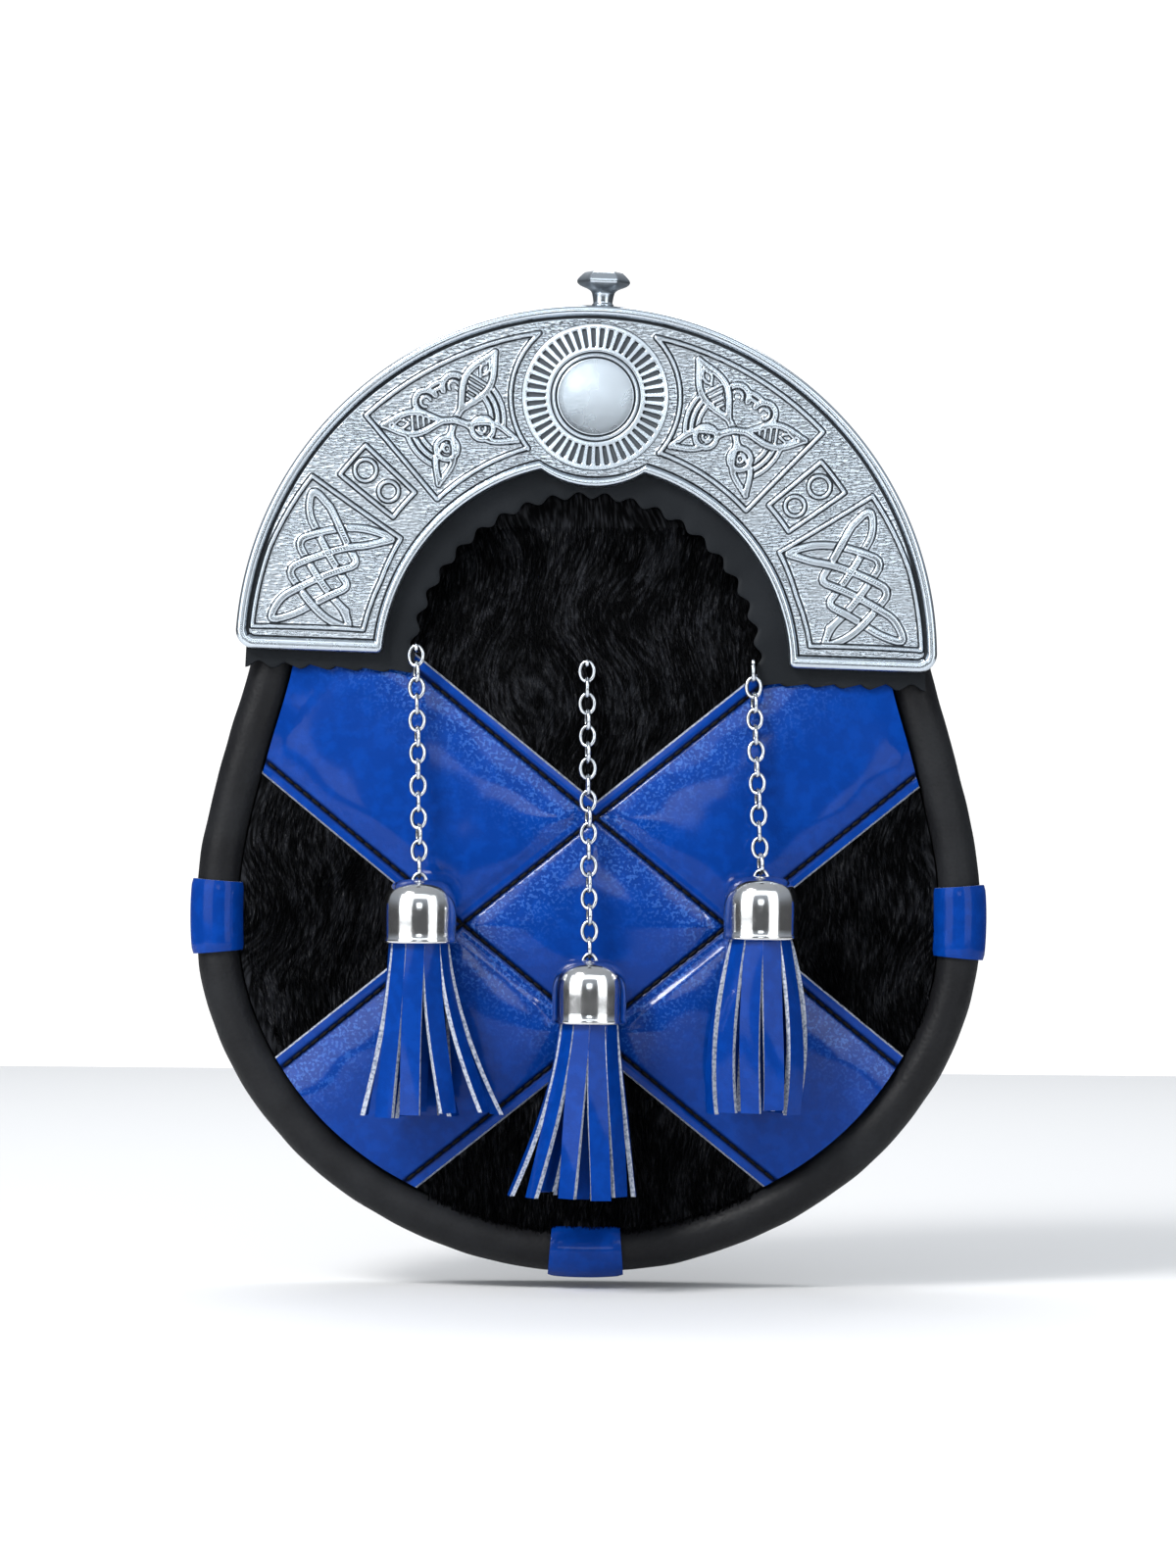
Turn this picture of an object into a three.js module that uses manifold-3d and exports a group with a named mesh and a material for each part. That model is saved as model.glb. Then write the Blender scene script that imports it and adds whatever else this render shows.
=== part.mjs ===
// A dress sporran: a flat, round-bottomed leather pouch that hangs in front of a kilt.
// A cast metal arch, the cantle, caps its top. A hair-on hide panel closes the front, and a
// quilted diagonal cross of glossy leather is sewn over it. A fat leather roll edges the front,
// with three leather keepers round it, and three chains hang tassels in metal bells.
// Behind are a gusset, a back panel with a mouth, a flap with a stud, and two strap loops.
//
// Millimetres, +Z up, the front faces -Y. The origin is where the strap passes behind the pouch,
// halfway between the two strap loops.
import * as THREE from "three";
import { mergeVertices } from "three/addons/utils/BufferGeometryUtils.js";
import Module from "manifold-3d";

const wasm = await Module();
wasm.setup();

// Driving dimensions
const GAP = 0.3; // left between neighbouring pieces
const LEATHER = 2; // thickness of the pouch's leather walls
const BACK_Y = -2.5; // outer face of the back panel
const RIM_Y = -31.2; // middle of the edge roll
const RIM_RADIUS = 5.4;
const ROLL_SIDES = 8;
const HIDE_THICKNESS = 3; // hide and hair together
const HIDE_FRONT_Y = -33; // front of the hide at the edge roll
const HIDE_BULGE = 7; // how far the stuffed front stands out in its middle
const BULGE_CENTRE_Z = -108;
const BULGE_HALF_WIDTH = 88.4;
const BULGE_HALF_HEIGHT = 88;

const CANTLE_Z = -43.2; // centre of the cantle's outer arc
const CANTLE_RADIUS = 88.6;
const CANTLE_FOOT_Z = -44.3;
const CANTLE_TURN_DEG = 1.6; // the cantle and its facing sit a little askew, clockwise from the front
const OUTER_CORNER = 5; // corner radii of the cantle's feet
const INNER_CORNER = 4;
const ARCH_Z = -46.3; // centre of the cantle's inner arch
const ARCH_RADIUS = 51.4;
const ROUNDEL_Z = 22.3;
const ROUNDEL_RADIUS = 18.2;
const ROUNDEL_BULGE_RADIUS = 22.8; // the arch swells to this radius below the roundel
const CANTLE_BORDER = 2.6; // width of the polished border
const WALL_THICKNESS = 2.2; // the cantle's outer wall, which laps over the pouch's top
const WALL_BACK_Y = -27;
const CANTLE_BACK_Y = -38.6;
const CANTLE_GROUND_Y = -41.1; // the stippled ground of the casting
const CANTLE_BORDER_Y = -42.3;
const RELIEF = 0.6; // height of frames and knots over the ground

const FACING_BACK_Y = -36.9;
const FACING_FRONT_Y = -38.3;
const FACING_INNER_RADIUS = 43.9;
const FACING_OUTER_RADIUS = 85.9;
const FACING_FOOT_Z = -48.8;
const FACING_FOOT_HALF_WIDTH = 86;
const TOOTH_DEPTH = 1.6;
const ARCH_TEETH = 20;
const FOOT_TEETH = 6;

const CROSS_X = 1.6;
const CROSS_Z = -111;
const CROSS_SLOPE_DEG = 37.5;
const CROSS_BAND = 48; // full width of one band
const CROSS_SEAM = 2.7; // from the cut edge to the stitches
const CROSS_THICKNESS = 1.4;
const CROSS_PADDING = 1; // extra height between the seams

const KEEPER_LENGTH = 19;
const KEEPER_THICKNESS = 1.1;
const KEEPERS = [
  { name: "keeper_left", side: -1, z: -109.6 },
  { name: "keeper_right", side: 1, z: -109.6 },
  { name: "keeper_bottom", side: 0, z: -195 },
];

const LINK_WIRE = 1.05;
const LINK_HALF_LENGTH = 2.53; // to the middle of the wire, as is the half width
const LINK_HALF_WIDTH = 1.83;
const LINK_PITCH = 4.13; // the wires just touch, so that a chain is one body
const LINK_SIDES = 10;
const WIRE_SIDES = 5;
const STAPLE_REACH = 3.1;

const BELL_RADIUS = 8.4;
const BELL_HEIGHT = 16;
const BELL_WALL = 0.8;
const BELL_HOLE_RADIUS = 2.9;
const BELL_BAR_DEPTH = 2.2; // of the bar that the last link hangs on
const BELL_BAR_RADIUS = 0.6;
const STRIP_WIDTH = 5;
const STRIP_THICKNESS = 1.2;
const STRIP_LENGTH = 43.5;
const TASSEL_HEAD_RADIUS = 6.3;
const TASSEL_HEAD_DEPTH = 4.9; // of the head's top below the bell's top

// One row for each tassel: where its staple is, and where its bell's top centre hangs.
const TASSELS = [
  { side: "left", stapleX: -44.1, stapleZ: -39.2, bellX: -42.4, bellZ: -99.6, links: 15, base: "facing" },
  { side: "middle", stapleX: -1, stapleZ: -41.2, bellX: 0.4, bellZ: -119.4, links: 19, base: "hide" },
  { side: "right", stapleX: 40.8, stapleZ: -41.6, bellX: 43.2, bellZ: -98, links: 14, base: "hide" },
];

// One row for each leather strip of a tassel: its angle round the bell seen from above, with 0 to
// the right and 270 to the front, how far its end lies to the right of and in front of its start,
// and how far its middle bows away from the tassel.
const STRIPS = {
  left: [
    { angle: 190, right: -6.5, front: 0.5, bow: 0.3 },
    { angle: 226, right: -3.4, front: 2.2, bow: 0.2 },
    { angle: 262, right: -0.9, front: 2.6, bow: 0.2 },
    { angle: 298, right: 4.4, front: 2.0, bow: 0 },
    { angle: 334, right: 9.6, front: 1.2, bow: -0.4 },
    { angle: 10, right: 11.4, front: -1.4, bow: -0.4 },
    { angle: 55, right: 3.2, front: -2.2, bow: 0 },
    { angle: 100, right: 0.4, front: -2.2, bow: 0 },
    { angle: 145, right: -3.2, front: -1.8, bow: 0 },
  ],
  middle: [
    { angle: 186, right: -8.6, front: 0.2, bow: 0 },
    { angle: 220, right: -5.4, front: 1.4, bow: 0.2 },
    { angle: 252, right: -1.4, front: 2.8, bow: 0.2 },
    { angle: 288, right: 1, front: 2.8, bow: 0.2 },
    { angle: 322, right: 2.6, front: 1.8, bow: 0.2 },
    { angle: 0, right: 3.6, front: -0.6, bow: 0.3 },
    { angle: 48, right: 1.6, front: -2.2, bow: 0 },
    { angle: 92, right: -1.4, front: -2.2, bow: 0 },
    { angle: 136, right: -4.8, front: -1.8, bow: 0 },
  ],
  right: [
    { angle: 184, right: -3.4, front: 0.2, bow: 2.2 },
    { angle: 220, right: -1.6, front: 1, bow: 1.9 },
    { angle: 254, right: -0.6, front: 1.8, bow: 1.6 },
    { angle: 290, right: 0.8, front: 1.8, bow: 1.6 },
    { angle: 326, right: 1.4, front: 0.8, bow: 1.8 },
    { angle: 4, right: 1.2, front: -0.4, bow: 2.4 },
    { angle: 50, right: 0.6, front: -1.8, bow: 1.4 },
    { angle: 94, right: -0.4, front: -1.6, bow: 1.2 },
    { angle: 138, right: -1.6, front: -1.2, bow: 1.4 },
  ],
};

const KNOB_X = 1;
const KNOB_PROFILE = [
  { radius: 0, z: 0 },
  { radius: 3.1, z: 0 },
  { radius: 2.7, z: 1 },
  { radius: 2.8, z: 3.2 },
  { radius: 4.2, z: 4.8 },
  { radius: 5.9, z: 5.6 },
  { radius: 6.2, z: 6.6 },
  { radius: 5.6, z: 7.8 },
  { radius: 3.6, z: 8.6 },
  { radius: 0, z: 8.8 },
];

const MOUTH = { halfWidth: 50, top: -34, bottom: -60, corner: 8 };
const FLAP = { halfWidth: 62, top: -25, bottom: -96, corner: 30 };
const STUD = { z: -86, radius: 6, height: 2.6 };
const LOOP = { x: 45, width: 20, halfHeight: 23, slotHalfHeight: 15, slotDepth: 5 };

// Half the pouch's width at heights down its side, to the outer edge of the edge roll.
const SIDE_ROWS = [
  { z: -50, half: 87.6 },
  { z: -65, half: 92 },
  { z: -80, half: 95.9 },
  { z: -95, half: 98.8 },
  { z: -110, half: 99.6 },
  { z: -125, half: 98.4 },
  { z: -140, half: 93.5 },
  { z: -155, half: 85.2 },
  { z: -170, half: 72.6 },
  { z: -182, half: 57.6 },
  { z: -191, half: 41 },
  { z: -197.2, half: 21.5 },
];
const BOTTOM_Z = -199.2;
const POUCH_TOP_RADIUS = 86; // the pouch's top follows the cantle, just inside its wall
const OUTLINE_POINTS = 44;

const MATERIALS = {
  metal: new THREE.MeshStandardMaterial({ color: 0xc9ced6, roughness: 0.28, metalness: 1 }),
  blueLeather: new THREE.MeshStandardMaterial({ color: 0x0b43b4, roughness: 0.2, metalness: 0 }),
  blackLeather: new THREE.MeshStandardMaterial({ color: 0x1b1c1e, roughness: 0.5, metalness: 0 }),
  hide: new THREE.MeshStandardMaterial({ color: 0x0a0a0c, roughness: 0.8, metalness: 0 }),
};

// Solids and meshes

function toSolid(geometry) {
  const bare = geometry.index ? geometry.toNonIndexed() : geometry.clone();
  bare.deleteAttribute("normal");
  bare.deleteAttribute("uv");
  const merged = mergeVertices(bare, 1e-4);
  return new wasm.Manifold(
    new wasm.Mesh({
      numProp: 3,
      vertProperties: merged.attributes.position.array,
      triVerts: new Uint32Array(merged.index.array),
    }),
  );
}

function toGeometry(solid) {
  const mesh = solid.getMesh();
  const geometry = new THREE.BufferGeometry();
  geometry.setAttribute("position", new THREE.BufferAttribute(new Float32Array(mesh.vertProperties), 3));
  geometry.setIndex(new THREE.BufferAttribute(new Uint32Array(mesh.triVerts), 1));
  return geometry;
}

function join(solids) {
  return solids.reduce((sum, solid) => sum.add(solid));
}

// A solid lofted through sections with equal point counts, capped at its ends unless it is a ring.
function loft(sections, ring = false) {
  const count = sections[0].length;
  const positions = sections.flat().flatMap((point) => [point.x, point.y, point.z]);
  const faces = [];
  const spans = ring ? sections.length : sections.length - 1;
  for (let s = 0; s < spans; s++) {
    const next = (s + 1) % sections.length;
    for (let k = 0; k < count; k++) {
      const a = s * count + k;
      const b = s * count + ((k + 1) % count);
      const c = next * count + k;
      const d = next * count + ((k + 1) % count);
      faces.push(a, b, d, a, d, c);
    }
  }
  if (!ring) {
    const last = (sections.length - 1) * count;
    for (let k = 1; k < count - 1; k++) {
      faces.push(0, k + 1, k, last, last + k, last + k + 1);
    }
  }
  const geometry = new THREE.BufferGeometry();
  geometry.setAttribute("position", new THREE.BufferAttribute(new Float32Array(positions), 3));
  geometry.setIndex(faces);
  const solid = toSolid(geometry);
  if (solid.volume() > 0) return solid;
  for (let i = 0; i < faces.length; i += 3) [faces[i + 1], faces[i + 2]] = [faces[i + 2], faces[i + 1]];
  geometry.setIndex(faces);
  return toSolid(geometry);
}

// A flat shape drawn in x and z, filled from backY to frontY.
function slab(shape, backY, frontY, curveSegments = 5) {
  const geometry = new THREE.ExtrudeGeometry(shape, {
    depth: backY - frontY,
    bevelEnabled: false,
    curveSegments,
  });
  geometry.rotateX(Math.PI / 2);
  geometry.translate(0, backY, 0);
  return toSolid(geometry);
}

function shapeOf(points, holes = []) {
  const shape = new THREE.Shape(points.map((point) => new THREE.Vector2(point.x, point.y)));
  holes.forEach((hole) => shape.holes.push(new THREE.Path(hole.map((p) => new THREE.Vector2(p.x, p.y)))));
  return shape;
}

// A body turned about the vertical axis through the origin, from radius and z rows.
function turned(profile, sides) {
  const geometry = new THREE.LatheGeometry(
    profile.map((row) => new THREE.Vector2(row.radius, row.z)),
    sides,
  );
  geometry.rotateX(Math.PI / 2);
  const solid = toSolid(geometry);
  return solid.volume() > 0 ? solid : toSolid(flipped(geometry));
}

function flipped(geometry) {
  const bare = geometry.toNonIndexed();
  const array = bare.attributes.position.array;
  for (let i = 0; i < array.length; i += 9) {
    for (let k = 0; k < 3; k++) [array[i + 3 + k], array[i + 6 + k]] = [array[i + 6 + k], array[i + 3 + k]];
  }
  return bare;
}

function meshOf(name, solid, material) {
  const mesh = new THREE.Mesh(toGeometry(solid), material);
  mesh.name = name;
  return mesh;
}

// Outlines in x and z

function polar(radius, degrees, centreZ = CANTLE_Z) {
  const angle = THREE.MathUtils.degToRad(degrees);
  return new THREE.Vector2(radius * Math.sin(angle), centreZ + radius * Math.cos(angle));
}

function arcPoints(radius, fromDeg, toDeg, steps, centreZ) {
  return Array.from({ length: steps + 1 }, (_, i) =>
    polar(radius, THREE.MathUtils.lerp(fromDeg, toDeg, i / steps), centreZ),
  );
}

const outlineCurve = (() => {
  const top = arcPoints(POUCH_TOP_RADIUS, -90, 90, 12);
  const right = SIDE_ROWS.map((row) => new THREE.Vector2(row.half, row.z));
  const left = [...SIDE_ROWS].reverse().map((row) => new THREE.Vector2(-row.half, row.z));
  const points = [...top, ...right, new THREE.Vector2(0, BOTTOM_Z), ...left];
  return new THREE.CatmullRomCurve3(
    points.map((point) => new THREE.Vector3(point.x, 0, point.y)),
    true,
    "centripetal",
  );
})();

// Columns spaced evenly round the pouch: a point on its outline and the direction into the pouch.
const COLUMNS = outlineCurve
  .getSpacedPoints(OUTLINE_POINTS)
  .slice(0, OUTLINE_POINTS)
  .map((point, index) => {
    const tangent = outlineCurve.getTangentAt(index / OUTLINE_POINTS);
    return { x: point.x, z: point.z, inX: tangent.z, inZ: -tangent.x };
  });

function inset(distance) {
  return COLUMNS.map((c) => new THREE.Vector2(c.x + c.inX * distance, c.z + c.inZ * distance));
}

const mirrored = (points) => points.map((p) => new THREE.Vector2(-p.x, p.y));

function roundedBox(halfWidth, top, bottom, topCorner, bottomCorner) {
  const shape = new THREE.Shape();
  shape.moveTo(-halfWidth + bottomCorner, bottom);
  shape.lineTo(halfWidth - bottomCorner, bottom);
  shape.absarc(halfWidth - bottomCorner, bottom + bottomCorner, bottomCorner, -Math.PI / 2, 0);
  shape.lineTo(halfWidth, top - topCorner);
  shape.absarc(halfWidth - topCorner, top - topCorner, topCorner, 0, Math.PI / 2);
  shape.lineTo(-halfWidth + topCorner, top);
  shape.absarc(-halfWidth + topCorner, top - topCorner, topCorner, Math.PI / 2, Math.PI);
  shape.lineTo(-halfWidth, bottom + bottomCorner);
  shape.absarc(-halfWidth + bottomCorner, bottom + bottomCorner, bottomCorner, Math.PI, 1.5 * Math.PI);
  return shape;
}

// The pouch's stuffed front

function bulge(x, z) {
  const across = x / BULGE_HALF_WIDTH;
  const along = (z - BULGE_CENTRE_Z) / BULGE_HALF_HEIGHT;
  return HIDE_BULGE * Math.max(0, 1 - across * across - along * along);
}

// A sheet that follows the stuffed front, between two distances in front of the hide's surface.
function frontSheet(edgeInset, backOffset, frontOffset, everyColumn = 1) {
  const edge = inset(edgeInset).filter((_, index) => index % everyColumn === 0);
  const centre = new THREE.Vector2(0, BULGE_CENTRE_Z);
  const shares = [1, 0.68, 0.34];
  const surface = (offset) =>
    [...shares.flatMap((share) => edge.map((p) => centre.clone().lerp(p, share))), centre].map(
      (p) => new THREE.Vector3(p.x, HIDE_FRONT_Y - bulge(p.x, p.y) - offset, p.y),
    );
  const front = surface(frontOffset);
  const points = [...front, ...surface(backOffset)];
  const count = edge.length;
  const faces = [];
  const facet = (a, b, c) => faces.push(a, b, c, front.length + a, front.length + c, front.length + b);
  for (let k = 0; k < count; k++) {
    const next = (k + 1) % count;
    for (let ring = 0; ring < shares.length - 1; ring++) {
      const outer = ring * count;
      const inner = outer + count;
      facet(outer + k, inner + k, inner + next);
      facet(outer + k, inner + next, outer + next);
    }
    facet((shares.length - 1) * count + k, front.length - 1, (shares.length - 1) * count + next);
    faces.push(k, next, front.length + next, k, front.length + next, front.length + k);
  }
  const geometry = new THREE.BufferGeometry();
  geometry.setAttribute(
    "position",
    new THREE.BufferAttribute(new Float32Array(points.flatMap((p) => [p.x, p.y, p.z])), 3),
  );
  geometry.setIndex(faces);
  const solid = toSolid(geometry);
  return solid.volume() > 0 ? solid : toSolid(flipped(geometry));
}

// The edge roll and what is wrapped round it

function rollSection(column, radius, sides) {
  const centreX = column.x + column.inX * RIM_RADIUS;
  const centreZ = column.z + column.inZ * RIM_RADIUS;
  return Array.from({ length: sides }, (_, k) => {
    const angle = (2 * Math.PI * k) / sides;
    const inward = radius * Math.cos(angle);
    return new THREE.Vector3(
      centreX + column.inX * inward,
      RIM_Y + radius * Math.sin(angle),
      centreZ + column.inZ * inward,
    );
  });
}

function edgeRoll() {
  return loft(
    COLUMNS.map((column) => rollSection(column, RIM_RADIUS, ROLL_SIDES)),
    true,
  );
}

// A stretch of roll of the given radius and length, centred on a keeper.
function keeperBody(keeper, radius, length) {
  const steps = 400;
  const samples = Array.from({ length: steps }, (_, i) => outlineCurve.getPointAt(i / steps));
  const target = new THREE.Vector3(keeper.side * RIM_RADIUS * 18, 0, keeper.z);
  const nearest = samples.reduce((best, p, i) => (p.distanceTo(target) < samples[best].distanceTo(target) ? i : best), 0);
  const total = outlineCurve.getLength();
  const sections = [-0.5, 0, 0.5].map((share) => {
    const u = (nearest / steps + (share * length) / total + 1) % 1;
    const point = outlineCurve.getPointAt(u);
    const tangent = outlineCurve.getTangentAt(u);
    return rollSection({ x: point.x, z: point.z, inX: tangent.z, inZ: -tangent.x }, radius, ROLL_SIDES);
  });
  return loft(sections);
}

function keeperEnvelopes() {
  const radius = RIM_RADIUS + GAP + KEEPER_THICKNESS + GAP;
  return join(KEEPERS.map((keeper) => keeperBody(keeper, radius, KEEPER_LENGTH + 2 * GAP)));
}

function keeperSleeve(keeper) {
  const inner = RIM_RADIUS + GAP + 0.15;
  return keeperBody(keeper, inner + KEEPER_THICKNESS - 0.15, KEEPER_LENGTH).subtract(
    keeperBody(keeper, inner, KEEPER_LENGTH * 1.4),
  );
}

// The leather facing with its pinked edge, seen round the cantle's inside and below its feet

function pinkedFacing() {
  const toothed = (point, away, depth) => point.clone().addScaledVector(away, depth);
  const arch = [];
  for (let i = 0; i <= ARCH_TEETH * 2; i++) {
    const degrees = THREE.MathUtils.lerp(88, -88, i / (ARCH_TEETH * 2));
    const point = polar(FACING_INNER_RADIUS, degrees, ARCH_Z);
    const away = polar(1, degrees, 0);
    arch.push(toothed(point, away, i % 2 ? TOOTH_DEPTH / 2 : -TOOTH_DEPTH / 2));
  }
  const foot = (side) =>
    Array.from({ length: FOOT_TEETH * 2 + 1 }, (_, i) => {
      const x = THREE.MathUtils.lerp(FACING_INNER_RADIUS, FACING_FOOT_HALF_WIDTH, i / (FOOT_TEETH * 2));
      const depth = i % 2 ? TOOTH_DEPTH / 2 : -TOOTH_DEPTH / 2;
      return new THREE.Vector2(side * x, FACING_FOOT_Z + depth);
    });
  const points = [
    ...arcPoints(FACING_OUTER_RADIUS, -90, 90, 16),
    ...foot(1).reverse(),
    ...arch,
    ...foot(-1),
  ];
  return slab(shapeOf(points), FACING_BACK_Y, FACING_FRONT_Y);
}

// The quilted diagonal cross

function bandPolygon(slope, width, fromShare = -1, toShare = 1) {
  const reach = 140;
  const angle = THREE.MathUtils.degToRad(slope);
  const along = new THREE.Vector2(Math.cos(angle), Math.sin(angle));
  const across = new THREE.Vector2(-along.y, along.x);
  const centre = new THREE.Vector2(CROSS_X, CROSS_Z);
  const corner = (a, b) => centre.clone().addScaledVector(along, a).addScaledVector(across, b);
  return shapeOf([
    corner(fromShare * reach, -width / 2),
    corner(toShare * reach, -width / 2),
    corner(toShare * reach, width / 2),
    corner(fromShare * reach, width / 2),
  ]);
}

function crossPrism(width) {
  const deep = HIDE_FRONT_Y - 2 * HIDE_BULGE - 10;
  return slab(bandPolygon(CROSS_SLOPE_DEG, width), BACK_Y, deep).add(
    slab(bandPolygon(-CROSS_SLOPE_DEG, width), BACK_Y, deep),
  );
}

// The five quilted fields: the middle diamond and the four arms, apart by the width of a seam.
function quiltedFields() {
  const deep = HIDE_FRONT_Y - 2 * HIDE_BULGE - 10;
  const padWidth = CROSS_BAND - 2 * CROSS_SEAM - 1;
  const seamWidth = CROSS_BAND - 2 * CROSS_SEAM + 1;
  const rising = slab(bandPolygon(CROSS_SLOPE_DEG, padWidth), BACK_Y, deep);
  const falling = slab(bandPolygon(-CROSS_SLOPE_DEG, padWidth), BACK_Y, deep);
  const risingSeam = slab(bandPolygon(CROSS_SLOPE_DEG, seamWidth), BACK_Y, deep);
  const fallingSeam = slab(bandPolygon(-CROSS_SLOPE_DEG, seamWidth), BACK_Y, deep);
  return join([rising.intersect(falling), rising.subtract(fallingSeam), falling.subtract(risingSeam)]);
}

function quiltedCross() {
  const edge = 2 * RIM_RADIUS + GAP + 0.5;
  const flat = frontSheet(edge, 1.8 * GAP, GAP + CROSS_THICKNESS, 2).intersect(crossPrism(CROSS_BAND));
  const padEdge = edge + CROSS_SEAM;
  const padded = frontSheet(padEdge, GAP + 0.5, GAP + CROSS_THICKNESS + CROSS_PADDING, 2);
  const cut = slab(roundedBox(140, FACING_FOOT_Z - 4.5, -230, 1, 1), BACK_Y, -80, 1);
  const under = slab(roundedBox(140, CANTLE_FOOT_Z, -230, 1, 1), BACK_Y, -80, 1);
  return flat.intersect(under).add(padded.intersect(quiltedFields()).intersect(cut));
}

// The cast cantle

// A ridge of the casting along a polyline in x and z, or round a closed one.
function ridge(points, width, height, closed = false) {
  const count = points.length;
  const foot = CANTLE_GROUND_Y + 0.4;
  const top = CANTLE_GROUND_Y - height;
  const sections = points.map((point, i) => {
    const before = points[closed ? (i + count - 1) % count : Math.max(i - 1, 0)];
    const after = points[closed ? (i + 1) % count : Math.min(i + 1, count - 1)];
    const into = point.clone().sub(before).normalize();
    const outof = after.clone().sub(point).normalize();
    const along = into.clone().add(outof).normalize();
    const stretch = 1 / Math.max(0.45, Math.abs(along.dot(into.lengthSq() ? into : outof)));
    const side = new THREE.Vector2(-along.y, along.x).multiplyScalar(stretch);
    const at = (share, y) => new THREE.Vector3(point.x + side.x * share * width, y, point.y + side.y * share * width);
    return [at(-0.45, foot), at(-0.45, top), at(0.45, top), at(0.45, foot)];
  });
  return loft(sections, closed);
}

// The three raised frames of the right half, as radius and angle from the top of the arc.
const FRAMES = {
  foot: [
    { radius: 82.8, deg: 58.7 },
    { radius: 84.3, deg: 73 },
    { radius: 84.5, deg: 86.9 },
    { radius: 56.6, deg: 85.3 },
    { radius: 55.2, deg: 72 },
    { radius: 55.4, deg: 59.6 },
  ],
  rings: [
    { radius: 77, deg: 48.3 },
    { radius: 77.2, deg: 55.6 },
    { radius: 60, deg: 56.3 },
    { radius: 59.8, deg: 48.3 },
  ],
  shoulder: [
    { radius: 82.3, deg: 11.6 },
    { radius: 82.5, deg: 28 },
    { radius: 82.2, deg: 44.4 },
    { radius: 54.9, deg: 45.4 },
    { radius: 53.9, deg: 31 },
    { radius: 54.6, deg: 17.4 },
    { radius: 65.8, deg: 18.4 },
  ],
};
const FRAME_WIDTH = 1.3;
const RINGS = [
  { radius: 72.8, deg: 51.9, size: 3 },
  { radius: 64.9, deg: 52.2, size: 2.8 },
];

// Where a knot's grid point lies: u runs down the panel and v across it, each from 0 to 1.
function footPanelPoint(u, v) {
  const corner = Math.abs(2 * u - 1) ** 4;
  const degrees = THREE.MathUtils.lerp(61.8, 84.2, u);
  const radius = THREE.MathUtils.lerp(61.3 + 1.2 * u - (3.5 - 1.5 * u) * corner, 78.8 - 0.4 * u + 1.6 * corner, v);
  return polar(radius, degrees);
}

// A four-strand plait, drawn as straight runs between the places where it turns.
function plaitRuns(columns, rows) {
  const runs = [];
  const trace = (startX, startY, stepX) => {
    let [x, y] = [startX, startY];
    const start = [x, y];
    while (true) {
      x += stepX;
      y += 1;
      if (y >= rows || x >= columns || x <= 0) break;
    }
    runs.push({ from: start, to: [x, y] });
  };
  for (let x = 1; x < columns; x += 2) {
    trace(x, 0, 1);
    trace(x, 0, -1);
  }
  for (let y = 1; y < rows; y += 2) {
    trace(0, y, 1);
    trace(columns, y, -1);
  }
  return runs;
}

function plaitRelief() {
  const columns = 4;
  const rows = 8;
  const place = ([x, y]) => footPanelPoint(y / rows, x / columns);
  return plaitRuns(columns, rows).map((run) =>
    ridge([place(run.from), place(run.to)], 2, RELIEF),
  );
}

// The shoulder knot: a leafed cross. Leaves point outwards from the knot's centre.
const SHOULDER_KNOT = { radius: 68.6, deg: 31.4 };
const LEAVES = [
  { turn: -62, start: 3.5, length: 17, width: 9 },
  { turn: 62, start: 3.5, length: 16, width: 8.4 },
  { turn: 137, start: 3.5, length: 11.5, width: 8 },
  { turn: -137, start: 3.5, length: 11.5, width: 8 },
];

function leafRelief() {
  const centre = polar(SHOULDER_KNOT.radius, SHOULDER_KNOT.deg);
  const tilt = THREE.MathUtils.degToRad(SHOULDER_KNOT.deg);
  const place = (out, side, turn) => {
    const angle = tilt + THREE.MathUtils.degToRad(turn);
    return new THREE.Vector2(
      centre.x + out * Math.sin(angle) + side * Math.cos(angle),
      centre.y + out * Math.cos(angle) - side * Math.sin(angle),
    );
  };
  const leaves = LEAVES.map((leaf) => {
    const shares = [0, 0.3, 0.7, 1];
    const half = (side) => shares.map((s) => ({ s, side: side * (s > 0 && s < 1 ? 0.5 : 0) }));
    const loop = [...half(1), ...half(-1).reverse().slice(1, -1)];
    const points = loop.map((p) => place(leaf.start + p.s * leaf.length, p.side * leaf.width, leaf.turn));
    return ridge(points, 1.2, RELIEF, true);
  });
  const bars = [0, 1].map((i) =>
    ridge([place(-LEAVES[3 - i].start - 1, 0, LEAVES[i].turn), place(LEAVES[i].start + 1, 0, LEAVES[i].turn)], 1.6, RELIEF - 0.1),
  );
  const arcs = [90, -90].map((turn) => {
    const points = [-34, -12, 12, 34].map((swing) => place(9.5, 0, turn + swing));
    return ridge(points, 1.8, RELIEF - 0.2);
  });
  return [...leaves, ...bars, ...arcs];
}

function ringRelief(ring) {
  const centre = polar(ring.radius, ring.deg);
  const points = Array.from({ length: 8 }, (_, k) => {
    const angle = (2 * Math.PI * k) / 8;
    return new THREE.Vector2(centre.x + ring.size * Math.cos(angle), centre.y + ring.size * Math.sin(angle));
  });
  return ridge(points, 0.9, RELIEF, true);
}

function disc(radius, backY, frontY, sides) {
  const points = Array.from({ length: sides }, (_, k) => {
    const angle = (2 * Math.PI * k) / sides;
    return new THREE.Vector2(radius * Math.cos(angle), ROUNDEL_Z + radius * Math.sin(angle));
  });
  return slab(shapeOf(points), backY, frontY);
}

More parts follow.
